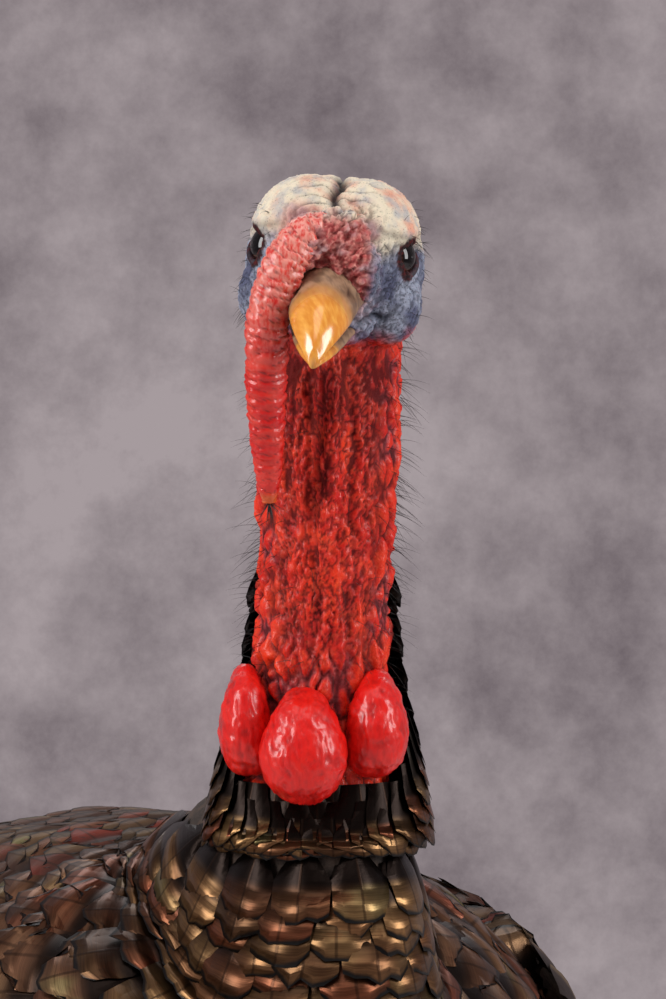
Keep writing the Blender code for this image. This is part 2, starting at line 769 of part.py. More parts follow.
def make_soft_head_parts(skull_room, neck_room):
    made = []
    for name, (aside, ahead, rise, *halves) in CARUNCLES.items():
        lobe = ball(name, (aside, -ahead, rise), halves, "skin_red", NECK_FRAME)
        cut(lobe, neck_room)
        made.append(lobe)
    aside, ahead, rise, *halves = CARUNCLES["middle_caruncle"]
    room = ball("middle_lobe_room", (aside, -ahead, rise), [h + FIT for h in halves], frame=NECK_FRAME)
    cut(made[1], room)
    cut(made[2], room)

    front = NECK_ROWS[3][2]
    rows = [
        (5, -front - 2, HEAD_RISE - 26, 6.0),
        (4, -front - 3, HEAD_RISE - 40, 6.0),
        (2.5, -front - 1.5, HEAD_RISE - 62, 5.0),
        (1, -front + 1, HEAD_RISE - 88, 2.6),
    ]
    wattle = swept("throat_wattle", rows, "skin_red", NECK_FRAME, flat=0.9)
    cut(wattle, skull_room, neck_room)
    snood = swept("snood", SNOOD_ROWS, "skin_red", HEAD_FRAME, flat=0.8)
    cut(snood, skull_room)
    return wattle, snood


def beak_half(name, rows, slot, grow=0.0):
    rings = []
    for ahead, top, bottom, half in smooth_rows(rows, 7):
        ring = oval(half + grow, (top - bottom) / 2 + grow, 12)
        rings.append([(x, HEAD_FRONT_Y - ahead, (top + bottom) / 2 + z) for x, z in ring])
    return lofted(name, rings, slot, HEAD_FRAME)


def make_head(wire_hole, wattle, snood):
    head = head_solid("head_cast", 0, slot="skin_blue")
    cut(head, wire_hole)
    beak_half("upper_beak", UPPER_BEAK_ROWS, "horn")
    beak_half("lower_beak", LOWER_BEAK_ROWS, "horn")
    cut(wattle, beak_half("lower_beak_room", LOWER_BEAK_ROWS, None, FIT))
    cut(snood, beak_half("upper_beak_room", UPPER_BEAK_ROWS, None, FIT))

    lid_in, lid_out = EYE_R + FIT, EYE_R + FIT + LID_THICKNESS
    for side, word in ((1, "left"), (-1, "right")):
        outward = Vector((side * 0.86, -0.46, 0.12)).normalized()
        place = Matrix.Translation(
            Vector((side * 0.33 * HEAD_WIDTH, HEAD_FRONT_Y + 0.25 * HEAD_LENGTH, 6)) * MM
        )
        frame = HEAD_FRAME @ place @ outward.to_track_quat("Z", "Y").to_matrix().to_4x4()
        arc = [math.radians(a) for a in (0, 18, 36, 54, 75)]
        dome = [(EYE_R * math.sin(a), EYE_R * math.cos(a)) for a in arc]
        turned(f"{word}_eye", dome + [(0, dome[-1][1])], "eye_glass", frame, 16)
        edge = [math.radians(a) for a in (42, 64, 88)]
        loop = [(lid_out * math.sin(a), lid_out * math.cos(a)) for a in edge]
        loop += [(lid_in * math.sin(a), lid_in * math.cos(a)) for a in reversed(edge)]
        turned(f"{word}_eyelid", loop, "skin_blue", frame, 16)
        room = lid_out + FIT
        cut(head, ball(f"{word}_eye_room", (0, 0, 0), (room, room, room), frame=frame, around=14, rows=8))


# ---------------------------------------------------------------- tail


def feather_half_width(share):
    """Half width of a tail feather this share of the way from the fan bolt to its tip."""
    quill = 3.5
    vane = 23.0 * min(1, max(0, (share - 0.06) / 0.5)) ** 0.7
    tip = math.sqrt(max(0, 1 - max(0, (share - 0.9) / 0.1) ** 2))
    return (quill + vane) * tip


def blade_outline(slant):
    """Outline of two overlapping feathers on one root, in the fan's plane with the bolt at the origin."""
    apart = math.radians(FEATHER_APART / 2)
    shares = (0.12, 0.25, 0.4, 0.6, 0.8, 0.9, 0.95, 0.985, 1.0)
    edge = []
    for share in shares:
        half, reach = feather_half_width(share), share * FAN_LENGTH
        edge.append(
            (
                half * math.cos(apart) + reach * math.sin(apart),
                reach * math.cos(apart) - half * math.sin(apart),
            )
        )
    root = [
        (FAN_ROOT_R * math.cos(math.radians(a)), FAN_ROOT_R * math.sin(math.radians(a)))
        for a in (-90, -60, -30, 0, 30)
    ]
    right = root + edge
    left = [(-x, y) for x, y in right[::-1] if x > 1e-6]
    notch = [(0, 0.955 * FAN_LENGTH)]
    turn = Matrix.Rotation(math.radians(slant), 2)
    return [tuple(turn @ Vector(p)) for p in right + notch + left]


def make_tail(form, skins):
    rear = BODY_REAR_Y
    plate_front, plate_rear = rear + FIT, rear + FIT + BRACKET_PLATE
    half = BRACKET_WIDTH / 2
    low, high = PIN_Z - EAR_R, PIN_Z + EAR_R
    bracket = box("tail_bracket", (-half, plate_front, low), (half, plate_rear, high), "steel")
    pin_frame = frame_at(0, PIN_Y, PIN_Z, "X")
    turn = [math.radians(a) for a in range(-90, 91, 30)]
    nose = [(PIN_Y + EAR_R * math.cos(a), PIN_Z + EAR_R * math.sin(a)) for a in turn]
    profile = [(plate_rear - 1, low), *nose, (plate_rear - 1, high)]
    pin_hole = rod("pin_hole", PIN_R + FIT, -half - CUT_OVER, half + CUT_OVER, frame=pin_frame)
    for side in (1, -1):
        inner, outer = sorted((side * (half - EAR_THICKNESS), side * half))
        change(bracket, "UNION", slab(f"ear_{outer:.0f}", profile, inner, outer, across="X"))
    cut(bracket, pin_hole)
    rod("tail_hinge_pin", PIN_R, -half - 2, half + 2, "steel", pin_frame)

    screw_reach = 7.5
    for side, word in ((1, "left"), (-1, "right")):
        frame = frame_at(side * screw_reach, plate_rear, PIN_Z, "Y")
        turned(
            f"{word}_bracket_screw",
            [(0, -24), (1.8, -20), (1.8, FIT), (3.6, FIT), (3.6, 1.2), (2.0, 2.2), (0, 2.4)],
            "steel",
            frame,
            12,
        )
        hole = rod(f"{word}_screw_hole", 1.8 + FIT, -24 - FIT, CUT_OVER, frame=frame, sides=12)
        cut(bracket, hole)
        cut(form, hole)

    window = box(
        "tail_window",
        (-half - LOOSE, rear - COAT, low - 3 * LOOSE),
        (half + LOOSE, rear + FAR, high + 3 * LOOSE),
    )
    for skin in ("back_skin", "left_flank_skin", "right_flank_skin"):
        cut(skins[skin], window)

    block = box(
        "tail_block",
        (-BLOCK_WIDTH / 2, 0, -FIT - BLOCK_DEPTH),
        (BLOCK_WIDTH / 2, BLOCK_LENGTH, -FIT),
        "epoxy",
        TAIL_FRAME,
    )
    knuckle = rod("knuckle", KNUCKLE_R, -BLOCK_WIDTH / 2, BLOCK_WIDTH / 2, frame=pin_frame)
    change(block, "UNION", knuckle)
    bolt_frame = TAIL_FRAME @ Matrix.Translation((0, FAN_BOLT_T * MM, 0))
    bolt_hole = rod("fan_bolt_hole", FAN_BOLT_R + FIT, -FAR, FAR, frame=bolt_frame)
    cut(block, rod("knuckle_hole", PIN_R + FIT, -FAR, FAR, frame=pin_frame), bolt_hole)

    under = -FIT - BLOCK_DEPTH
    turned(
        "fan_bolt",
        [
            (0, under - 7),
            (FAN_BOLT_R, under - 7),
            (FAN_BOLT_R, FAN_STACK + FIT),
            (2 * FAN_BOLT_R, FAN_STACK + FIT),
            (2 * FAN_BOLT_R, FAN_STACK + FIT + 1.5),
            (0, FAN_STACK + FIT + 2),
        ],
        "steel",
        bolt_frame,
    )
    nut = rod("fan_nut", 6.0, under - 5, under - FIT, "steel", bolt_frame, 6)
    cut(nut, bolt_hole)
    make_blades(bolt_frame, bolt_hole)
    make_tail_coverts(under)


def make_blades(bolt_frame, bolt_hole):
    """The middle pair lies on top. Below it the two sides' pairs alternate, a layer each."""
    layer = FAN_LAYERS - 1
    names = [("middle_tail_feathers", 0)]
    for i in range(1, FAN_SIDES + 1):
        names += [(f"left_tail_feathers_{i}", -i), (f"right_tail_feathers_{i}", i)]
    for name, step in names:
        low = layer * BLADE_PITCH + (BLADE_PITCH - BLADE_THICKNESS) / 2
        outline = blade_outline(step * FAN_REST_STEP)
        blade = slab(name, outline, low, low + BLADE_THICKNESS, "tail_feather", bolt_frame)
        cut(blade, bolt_hole)
        layer -= 1


def make_tail_coverts(under):
    """Two pads of short feathers, over and under the root of the fan."""
    top = FAN_STACK + FIT + 2 + FIT + COVERT_PAD
    upper = [(28, 22), (60, 38), (110, 50), (150, 44), (172, 26)]
    lower = [(20, 18), (50, 30), (90, 38), (125, 34), (146, 20)]
    bottom = under - 7 - FIT - COVERT_PAD
    for name, rows, height in (
        ("upper_tail_coverts", upper, top),
        ("under_tail_coverts", lower, bottom),
    ):
        rings = []
        for along, half in smooth_rows(rows, 7):
            rings.append([(x, along, height + z) for x, z in oval(half, COVERT_PAD, 14)])
        lofted(name, rings, "feather", TAIL_FRAME)


# ---------------------------------------------------------------- pivots

STAKE_PIECES = ("ground_stake", "foot_step", "stake_collar", "collar_screw", "thrust_washer")
HEAD_PIECES = (
    "neck_plug",
    "neck_friction_ring",
    "neck_core",
    "neck_wire",
    "neck_skin",
    "nape_feathers",
    "throat_wattle",
    "snood",
    *CARUNCLES,
    "head_cast",
    "upper_beak",
    "lower_beak",
    "left_eye",
    "right_eye",
    "left_eyelid",
    "right_eyelid",
)
TAIL_PIECES = ("tail_block", "fan_bolt", "fan_nut", "upper_tail_coverts", "under_tail_coverts")


def hang(obj, pivot, frame):
    """Parents an object to an empty whose frame is known, and leaves it where it is."""
    obj.parent = pivot
    obj.matrix_parent_inverse = frame.inverted()


def make_pivots():
    """An empty on each joint's axis carries the pieces that turn about it."""
    frames = {
        "body_swivel": Matrix(),
        "head_turn": NECK_AXIS,
        "tail_lift": TAIL_FRAME,
        "fan_spread": TAIL_FRAME @ Matrix.Translation((0, FAN_BOLT_T * MM, 0)),
    }
    carriers = {"head_turn": "body_swivel", "tail_lift": "body_swivel", "fan_spread": "tail_lift"}
    pivots = {}
    for name, frame in frames.items():
        pivot = bpy.data.objects.new(name, None)
        bpy.context.scene.collection.objects.link(pivot)
        pivot.matrix_world = frame
        if name in carriers:
            hang(pivot, pivots[carriers[name]], frames[carriers[name]])
        pivots[name] = pivot
    for obj in [o for o in bpy.data.objects if o.type == "MESH" and not o.hide_render]:
        if obj.name in STAKE_PIECES:
            continue
        name = "body_swivel"
        if obj.name in HEAD_PIECES:
            name = "head_turn"
        elif obj.name in TAIL_PIECES:
            name = "tail_lift"
        elif "tail_feathers" in obj.name:
            name = "tail_lift" if obj.name.startswith("middle") else "fan_spread"
        hang(obj, pivots[name], frames[name])


def main():
    for obj in list(bpy.data.objects):
        bpy.data.objects.remove(obj, do_unlink=True)
    form, skins = make_form_and_skin()
    make_wings(form, skins)
    make_beard(form, skins)
    make_stake(form, skins)
    skull_room, neck_room, wire_hole = make_neck(form, skins)
    wattle, snood = make_soft_head_parts(skull_room, neck_room)
    make_head(wire_hole, wattle, snood)
    make_tail(form, skins)
    make_pivots()


main()
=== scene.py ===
"""Looks of the gobbler decoy: feathers laid over the form, sculpted head and neck, glass eyes, beard,
tail fan, worn stake, and the light they stand in. Sizes are in millimetres and angles in degrees."""

import math

import bpy
import numpy as np
from mathutils import Matrix, Vector, noise
from mathutils.bvhtree import BVHTree
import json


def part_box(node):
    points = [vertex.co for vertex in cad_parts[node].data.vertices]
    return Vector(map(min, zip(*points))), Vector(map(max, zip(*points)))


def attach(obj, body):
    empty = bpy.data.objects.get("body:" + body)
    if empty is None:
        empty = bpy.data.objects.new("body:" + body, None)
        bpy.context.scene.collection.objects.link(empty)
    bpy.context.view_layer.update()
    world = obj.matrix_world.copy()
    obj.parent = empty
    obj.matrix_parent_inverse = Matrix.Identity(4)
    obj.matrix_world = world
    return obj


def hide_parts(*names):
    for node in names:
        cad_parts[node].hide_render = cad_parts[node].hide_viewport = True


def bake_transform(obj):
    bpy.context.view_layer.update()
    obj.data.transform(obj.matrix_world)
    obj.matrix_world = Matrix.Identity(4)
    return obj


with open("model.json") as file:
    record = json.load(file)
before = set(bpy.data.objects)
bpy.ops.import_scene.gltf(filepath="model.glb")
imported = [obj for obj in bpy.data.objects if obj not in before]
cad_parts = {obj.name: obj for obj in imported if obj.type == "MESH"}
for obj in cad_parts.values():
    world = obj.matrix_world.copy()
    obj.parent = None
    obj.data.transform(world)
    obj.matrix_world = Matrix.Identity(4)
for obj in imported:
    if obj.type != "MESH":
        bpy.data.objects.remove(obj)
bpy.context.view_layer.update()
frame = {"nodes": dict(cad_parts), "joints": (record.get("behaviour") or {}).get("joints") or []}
NODES = frame["nodes"]
JOINTS = {joint["name"]: joint for joint in frame["joints"]}

MM = 0.001
SEED = 11
rng = np.random.default_rng(SEED)
noise.seed_set(SEED)  # noise_vector starts from the clock unless this is set

# Places that follow the solids
NECK_AXIS = np.array(JOINTS["head_turn"]["pos_m"]) / MM
NECK_TURN = -26.0
HEAD_TURN = -30.0
HEAD_NOD = 2.0
HEAD_ROLL = 5.0
HEAD_RISE = 171.5
HEAD_FORWARD = 12.0
HEAD_ASIDE = 6.0
EYE_ASIDE = 18.8
EYE_Y = -10.0
EYE_Z = 6.0
EYE_R = 6.5
TAIL_DROOP = 25.0
FAN_LENGTH = 330.0
FAN_REST_STEP = 1.5
FEATHER_APART = 8.8
BLADE_PITCH = 1.4
FAN_SIDES = 4

# Evened skins
UNDER_SKIN = 5.0  # height of the surface that feathers lie on, over the form
UNDER_SKIN_SUNK = 0.6  # depth of the dark skin below that surface
HULL_VOXEL = 4.5
SKIN_VOXEL = 0.75
LOBE_VOXEL = 0.7

# Wings, as (y, z): the middle and half size that the sheet's curve is fitted over
WING_MIDDLE = (40, 340)
WING_HALF = (150, 80)

# Neck's foot, tail coverts and beak
RUFF_FLARE = 0.32
COVERT_FAN = 0.36
BEAK_ROOT_Y = -26.0

# Floor and camera
FLOOR_RADIUS = 3400
FLOOR_MIDDLE = (-590, -1210)
CAMERA_AWAY = 1.6
CAMERA_LENS = 186


def frame_matrix(place, turn=0.0, nod=0.0, roll=0.0):
    """A frame in millimetres at place, turned about Z, then nodded about X, then rolled about Y."""
    return (
        Matrix.Translation(place)
        @ Matrix.Rotation(math.radians(turn), 4, "Z")
        @ Matrix.Rotation(math.radians(nod), 4, "X")
        @ Matrix.Rotation(math.radians(roll), 4, "Y")
    )


NECK_FRAME = frame_matrix(NECK_AXIS, NECK_TURN)
HEAD_PLACE = NECK_FRAME @ Vector((HEAD_ASIDE, 0, HEAD_RISE))
HEAD_FRAME = (
    frame_matrix(HEAD_PLACE, HEAD_TURN)
    @ Matrix.Translation((0, -HEAD_FORWARD, 0))
    @ Matrix.Rotation(math.radians(HEAD_NOD), 4, "X")
    @ Matrix.Rotation(math.radians(HEAD_ROLL), 4, "Y")
)
FAN_PLACE = np.array(JOINTS["fan_spread"]["pos_m"]) / MM
FAN_FRAME = Matrix.Translation(FAN_PLACE) @ Matrix.Rotation(math.radians(-TAIL_DROOP), 4, "X")


# ---------------------------------------------------------------- numbers and arrays


def transformed(matrix, points):
    """Points, one a row, moved by a 4 by 4 matrix."""
    m = np.array(matrix)
    return points @ m[:3, :3].T + m[:3, 3]


def smooth(low, high, x):
    """0 below low, 1 above high, and a smooth rise between them."""
    t = np.clip((x - low) / (high - low), 0, 1)
    return t * t * (3 - 2 * t)


def bell(x, width):
    """1 at x = 0, falling off softly over this width."""
    return np.exp(-((x / width) ** 2))


def through(points, count):
    """Points at even steps of the parameter along a smooth curve through the given rows."""
    rows = np.array(points, float)
    at = np.linspace(0, len(rows) - 1, count)
    i = np.minimum(at.astype(int), len(rows) - 2)
    t = (at - i)[:, None]
    last = len(rows) - 1
    a, b = rows[np.maximum(i - 1, 0)], rows[i]
    c, d = rows[i + 1], rows[np.minimum(i + 2, last)]
    return 0.5 * (2 * b + (c - a) * t + (2 * a - 5 * b + 4 * c - d) * t**2 + (3 * b - a - 3 * c + d) * t**3)


def clouds(points, size, octaves=2):
    """Soft noise from about -1 to 1 with blotches of this size at each point."""
    return np.array([noise.fractal(Vector(p) / size, 0.6, 2.0, octaves) for p in points])


def pebbles(points, size, stretch=(1, 1, 1), warp=0.35, seed=0.0):
    """For cells of this size: distance to the nearest cell's middle, and to the edge between cells."""
    middles = np.empty(len(points))
    edges = np.empty(len(points))
    scale = Vector((1 / stretch[0], 1 / stretch[1], 1 / stretch[2])) / size
    for i, p in enumerate(points):
        q = Vector((p[0] * scale[0] + seed, p[1] * scale[1], p[2] * scale[2]))
        q += warp * noise.noise_vector(q * 1.3)
        d = noise.voronoi(q)[0]
        middles[i] = d[0]
        edges[i] = d[1] - d[0]
    return middles, edges


# ---------------------------------------------------------------- finishes


def tone(red, green, blue):
    """A colour given as it looks on a swatch, from 0 to 255, as light."""
    return tuple(((c / 255 + 0.055) / 1.055) ** 2.4 if c > 10 else c / 3294 for c in (red, green, blue))


class Amount:
    """A number that varies over a surface. Arithmetic on it adds Math nodes."""

    def __init__(self, tree, socket):
        self.tree = tree
        self.socket = socket

    def math(self, operation, *others):
        inputs = dict(enumerate((self, *others)))
        made = self.tree.node("Math", {"operation": operation}, inputs)
        return Amount(self.tree, made.outputs[0])

    def __add__(self, other):
        return self.math("ADD", other)

    __radd__ = __add__

    def __mul__(self, other):
        return self.math("MULTIPLY", other)

    __rmul__ = __mul__

    def __sub__(self, other):
        return self.math("SUBTRACT", other)

    def __rsub__(self, other):
        return self * -1 + other

    def rise(self, low, high):
        """0 below low, 1 above high, and a smooth rise between them."""
        settings = {"interpolation_type": "SMOOTHSTEP"}
        inputs = {"Value": self, "From Min": low, "From Max": high}
        return Amount(self.tree, self.tree.node("MapRange", settings, inputs).outputs[0])

    def wave(self, size):
        """A ripple from -1 to 1 with this length."""
        return (self * (2 * math.pi / size)).math("SINE")


class ShaderTree:
    """Adds nodes to one tree."""

    def __init__(self, tree):
        self.tree = tree

    def node(self, kind, settings=None, inputs=None):
        made = self.tree.nodes.new("ShaderNode" + kind)
        for key, value in (settings or {}).items():
            if key == "stops":
                self.set_stops(made.color_ramp, value)
            else:
                setattr(made, key, value)
        for key, value in (inputs or {}).items():
            self.feed(made.inputs[key], value)
        return made

    def set_stops(self, ramp, stops):
        while len(ramp.elements) < len(stops):
            ramp.elements.new(0.5)
        for element, (place, colour) in zip(ramp.elements, stops):
            element.position = place
            element.color = (*colour, 1)

    def feed(self, socket, value):
        if isinstance(value, Amount):
            self.tree.links.new(value.socket, socket)
        elif isinstance(value, bpy.types.NodeSocket):
            self.tree.links.new(value, socket)
        elif socket.type == "RGBA":
            socket.default_value = (*value, 1)
        else:
            socket.default_value = value

    def ramp(self, value, stops):
        return self.node("ValToRGB", {"stops": stops}, {"Fac": value}).outputs[0]


class Finish(ShaderTree):
    """A material, and the nodes that make it up."""

    SOCKETS = {
        "colour": "Base Color",
        "coat": "Coat Weight",
        "coat_roughness": "Coat Roughness",
        "specular": "Specular IOR Level",
        "subsurface": "Subsurface Weight",
        "scatter": "Subsurface Scale",
    }

    def __init__(self, name):
        self.material = bpy.data.materials.new(name)
        self.material.use_nodes = True
        super().__init__(self.material.node_tree)
        self.shader = self.tree.nodes["Principled BSDF"]

    def place(self, stretch=(1, 1, 1)):
        """The point on the piece in millimetres, with each axis divided by its stretch."""
        where = self.node("TexCoord").outputs["Object"]
        scale = tuple(1 / (MM * s) for s in stretch)
        return self.node("VectorMath", {"operation": "MULTIPLY"}, {0: where, 1: scale}).outputs[0]

    def attribute(self, name):
        return Amount(self, self.node("Attribute", {"attribute_name": name}).outputs["Fac"])

    def clouds(self, size, detail=3, stretch=(1, 1, 1), vector=None):
        """Soft noise from 0 to 1 with blotches of this size."""
        inputs = {"Vector": vector or self.place(stretch), "Scale": 1 / size, "Detail": detail}
        return Amount(self, self.node("TexNoise", None, inputs).outputs["Fac"])

    def cells(self, size, feature="F1"):
        inputs = {"Vector": self.place(), "Scale": 1 / size}
        return Amount(self, self.node("TexVoronoi", {"feature": feature}, inputs).outputs["Distance"])

    def mix(self, factor, a, b):
        return self.node("Mix", {"data_type": "RGBA"}, {0: factor, 6: a, 7: b}).outputs[2]

    def bump(self, height, distance, strength=1.0, under=None):
        inputs = {"Height": height, "Distance": distance * MM, "Strength": strength}
        if under:
            inputs["Normal"] = under
        return self.node("Bump", None, inputs).outputs[0]

    def set(self, **values):
        for key, value in values.items():
            self.feed(self.shader.inputs[self.SOCKETS.get(key, key.title())], value)


def skin_finish():
    """Painted skin of the head and neck: blue cheeks, pale crown, red neck, and painted shade in the creases.
    """
    f = Finish("painted_skin")
    red, pale, pink = f.attribute("red"), f.attribute("pale"), f.attribute("pink")
    crease, bare, rim = f.attribute("crease"), f.attribute("bare"), f.attribute("rim")
    patches = f.clouds(9, 3)
    fine = f.clouds(1.6, 4)
    blue = f.mix(patches.rise(0.35, 0.65), tone(76, 80, 104), tone(140, 146, 162))
    crown = f.mix(patches.rise(0.44, 0.72), tone(214, 202, 178), tone(206, 150, 126))
    crown = f.mix(f.clouds(5, 4).rise(0.42, 0.74) * 0.7, crown, tone(146, 150, 158))
    blush = f.mix(fine.rise(0.35, 0.7), tone(172, 74, 72), tone(208, 138, 126))
    blush = f.mix(patches.rise(0.42, 0.62) * 0.75, blush, tone(172, 148, 148))
    throat = f.mix(patches.rise(0.35, 0.7), tone(190, 20, 8), tone(218, 52, 20))
    throat = f.mix(fine.rise(0.45, 0.8) * 0.5, throat, tone(222, 84, 44))
    colour = f.mix(pale, blue, crown)
    colour = f.mix(pink, colour, blush)
    colour = f.mix(red, colour, throat)
    colour = f.mix(bare, colour, f.mix(fine.rise(0.4, 0.7), tone(84, 70, 86), tone(146, 122, 138)))
    # painted shade: darker tones laid into the creases, blue-grey on the head, dark red on the neck and face
    shade = f.mix(red, tone(34, 34, 44), tone(58, 3, 5))
    shade = f.mix(pink, shade, tone(90, 14, 16))
    colour = f.mix(crease * 0.9, colour, shade)
    specks = 1 - f.cells(0.95).rise(0.14, 0.3)
    colour = f.mix(specks * (1 - red) * (1 - pink) * (0.7 - pale * 0.35), colour, tone(22, 20, 28))
    colour = f.mix(rim, colour, f.mix(fine.rise(0.3, 0.6), tone(74, 12, 12), tone(30, 14, 18)))
    colour = f.mix(f.attribute("nape"), colour, tone(12, 10, 9))
    grain = f.bump(f.clouds(0.7, 3), 0.1, 0.7)
    relief = f.bump(f.cells(1.1, "DISTANCE_TO_EDGE").rise(0.0, 0.25), 0.1, 0.6, grain)
    gloss = 0.54 - red * 0.12 + fine * 0.1 + crease * 0.4
    f.set(colour=colour, roughness=gloss, normal=relief)
    f.set(coat=red * (1 - crease) * 0.15, coat_roughness=0.14, specular=0.22)
    f.set(subsurface=0.03, scatter=0.003)
    return f.material


def gloss_red_finish(name, deep, bright, light):
    """Wet-looking red of the caruncles and the snood."""
    f = Finish(name)
    crease, tip = f.attribute("crease"), f.attribute("tip")
    patches = f.clouds(6, 3)
    fine = f.clouds(1.2, 4, (1, 1, 2.5))
    colour = f.mix(patches.rise(0.3, 0.7), bright, light)
    colour = f.mix(f.attribute("faded") * fine.rise(0.3, 0.6), colour, tone(214, 136, 122))
    # painted shade: the deep tone laid into the wrinkles along the crease mask
    colour = f.mix(crease * 0.8, colour, deep)
    colour = f.mix(tip, colour, tone(190, 78, 30))
    relief = f.bump(fine, 0.35, 0.6)
    f.set(colour=colour, roughness=0.3 + fine * 0.15, normal=relief)
    f.set(coat=0.35, coat_roughness=0.12, specular=0.3, subsurface=0.04, scatter=0.003)
    return f.material


def horn_finish():
    """Beak: ochre and polished towards the tip, brown-grey and dull at the base."""
    f = Finish("beak_horn")
    base, edge = f.attribute("base"), f.attribute("crease")
    streaks = f.clouds(1.4, 3, (1, 5, 3))
    blotch = f.clouds(5, 2)
    tip = f.mix(streaks.rise(0.35, 0.7), tone(206, 128, 38), tone(226, 160, 66))
    root = f.mix(blotch.rise(0.35, 0.65), tone(112, 84, 62), tone(150, 118, 92))
    root = f.mix(streaks.rise(0.45, 0.7) * 0.6, root, tone(70, 50, 40))
    colour = f.mix(base, tip, root)
    # painted shade: dark brown in the sunk nostrils (edge is the crease mask)
    colour = f.mix(edge, colour, tone(58, 34, 20))
    f.set(colour=colour, roughness=0.2 + base * 0.3, coat=0.6 - base * 0.4, coat_roughness=0.1)
    f.set(normal=f.bump(streaks, 0.12, 0.5))
    return f.material


def eye_finish():
    """Glass eye: black pupil in a dark brown iris under clear glass."""
    f = Finish("eye_glass")
    off_axis = f.attribute("across")
    spokes = f.clouds(0.8, 3)
    iris = f.mix(spokes.rise(0.35, 0.7), tone(24, 13, 9), tone(62, 32, 17))
    colour = f.mix(off_axis.rise(0.44, 0.5), tone(4, 4, 5), iris)
    colour = f.mix(off_axis.rise(0.86, 0.95), colour, tone(12, 8, 8))
    f.set(colour=colour, roughness=0.04, coat=0.5, coat_roughness=0.02, specular=0.15)
    return f.material


def feather_finish(name, dark, warm, bright, copper, metal, gloss):
    """Body feather: dark towards the root (its own duller base and painted shade where it tucks under the row
    above), metallic where it shows, with fine barbs and a dark end band.
    """
    f = Finish(name)
    along, across, chance = f.attribute("along"), f.attribute("across"), f.attribute("chance")
    hue, blotch = f.attribute("hue"), f.clouds(24, 2)
    reach = f.attribute("reach")
    slant = f.node("CombineXYZ", None, {0: reach * 3.2, 1: across * 0.6, 2: chance * 91}).outputs[0]
    barbs = f.clouds(1.0, 2, vector=slant)
    colour = f.mix(blotch.rise(0.35, 0.68), warm, bright)
    colour = f.mix(chance.rise(0.2, 1.0) * 0.55, colour, dark)
    colour = f.mix(hue.rise(0.6, 0.85) * blotch.rise(0.3, 0.6), colour, copper)
    glint = hue.rise(0.3, 0.4) * (1 - hue.rise(0.42, 0.5)) * blotch.rise(0.45, 0.6)
    colour = f.mix(glint * 0.8, colour, tone(116, 110, 72))
    colour = f.mix((0.55 - barbs).rise(-0.15, 0.3) * 0.4, colour, dark)
    # darker towards the root: the feather's duller base, and painted shade where it tucks under the row above
    colour = f.mix(1 - along.rise(0.45, 0.78), colour, dark)
    shaft = 1 - across.math("ABSOLUTE").rise(0.02, 0.07)
    colour = f.mix(shaft * 0.6, colour, tone(40, 26, 18))
    end = 0.97
    band = (along + barbs * 0.06 + across.math("ABSOLUTE") * 0.05).rise(end, end + 0.05)
    colour = f.mix(band, colour, tone(9, 7, 6))
    height = barbs * 0.6 + shaft * 0.5
    f.set(colour=colour, metallic=(1 - band) * metal, roughness=gloss + barbs * 0.12, specular=0.2)
    dome = (1 - across * across) * 0.8 + along.rise(0.55, 0.8) - along.rise(0.84, 1.04) * 1.3
    f.set(normal=f.bump(height, 0.13, 0.5, f.bump(dome, 2.4, 1.0)))
    return f.material


def barred_finish(name, ground, bar, bar_size, band, end):
    """Flight or tail feather with bars across it, and where band is given, a dark band and its own end."""
    f = Finish(name)
    along, across, chance = f.attribute("along"), f.attribute("across"), f.attribute("chance")
    reach = f.attribute("reach")
    width = across.math("ABSOLUTE")
    slant = f.node("CombineXYZ", None, {0: reach * 2.4, 1: across * 0.5, 2: chance * 91}).outputs[0]
    barbs = f.clouds(1.0, 2, vector=slant)
    ragged = f.clouds(5, 3)
    slope = 0.35
    bars = (reach - width * slope * bar_size + ragged * bar_size * 1.1).wave(bar_size).rise(-0.25, 0.35)
    colour = f.mix(bars, ground, bar)
    colour = f.mix(barbs.rise(0.35, 0.75) * 0.35, colour, tone(20, 15, 12))
    if band:
        edge = along + ragged * 0.02
        colour = f.mix(edge.rise(band[0], band[0] + 0.02), colour, tone(22, 17, 15))
        colour = f.mix(edge.rise(band[1], band[1] + 0.012), colour, end)
    shaft = 1 - width.rise(0.015, 0.05)
    colour = f.mix(shaft, colour, tone(86, 62, 44))
    f.set(colour=colour, metallic=0.12, roughness=0.48 + barbs * 0.14)
    f.set(normal=f.bump(barbs + shaft, 0.25, 0.5))
    return f.material


def plain_finish(name, colour, second, size, roughness, metallic=0.0, bump=0.1, wear=None):
    """A made surface: two close tones, a fine grain and, where wear is given, patches rubbed through."""
    f = Finish(name)
    grain = f.clouds(size, 4)
    fine = f.clouds(size / 6, 3)
    shade = f.mix(grain.rise(0.35, 0.65), colour, second)
    metal = metallic
    if wear:
        rubbed = (f.clouds(4, 4) + fine * 0.2).rise(0.66, 0.72)
        shade = f.mix(rubbed, shade, wear)
        metal = rubbed * 0.8 + metallic * 0.5
    f.set(colour=shade, roughness=roughness + fine * 0.12, metallic=metal)
    f.set(normal=f.bump(fine + grain * 0.5, bump, 0.6))
    return f.material


# ---------------------------------------------------------------- meshes


def mesh_piece(name, points, faces, material, body, replaces=(), values=None, matrix=None):
    """A smooth-shaded piece from points in millimetres, riding on a body of the frame."""
    points = np.asarray(points, float)
    if matrix is not None:
        points = transformed(matrix, points)
    mesh = bpy.data.meshes.new(name)
    mesh.from_pydata((points * MM).tolist(), [], faces)
    mesh.validate()
    mesh.polygons.foreach_set("use_smooth", np.ones(len(mesh.polygons), bool))
    for key, numbers in (values or {}).items():
        layer = mesh.attributes.new(key, "FLOAT", "POINT")
        layer.data.foreach_set("value", np.asarray(numbers, np.float32))
    mesh.materials.append(material)
    obj = bpy.data.objects.new(name, mesh)
    bpy.context.scene.collection.objects.link(obj)
    if body:
        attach(obj, body)
    if replaces:
        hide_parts(*replaces)
    return obj


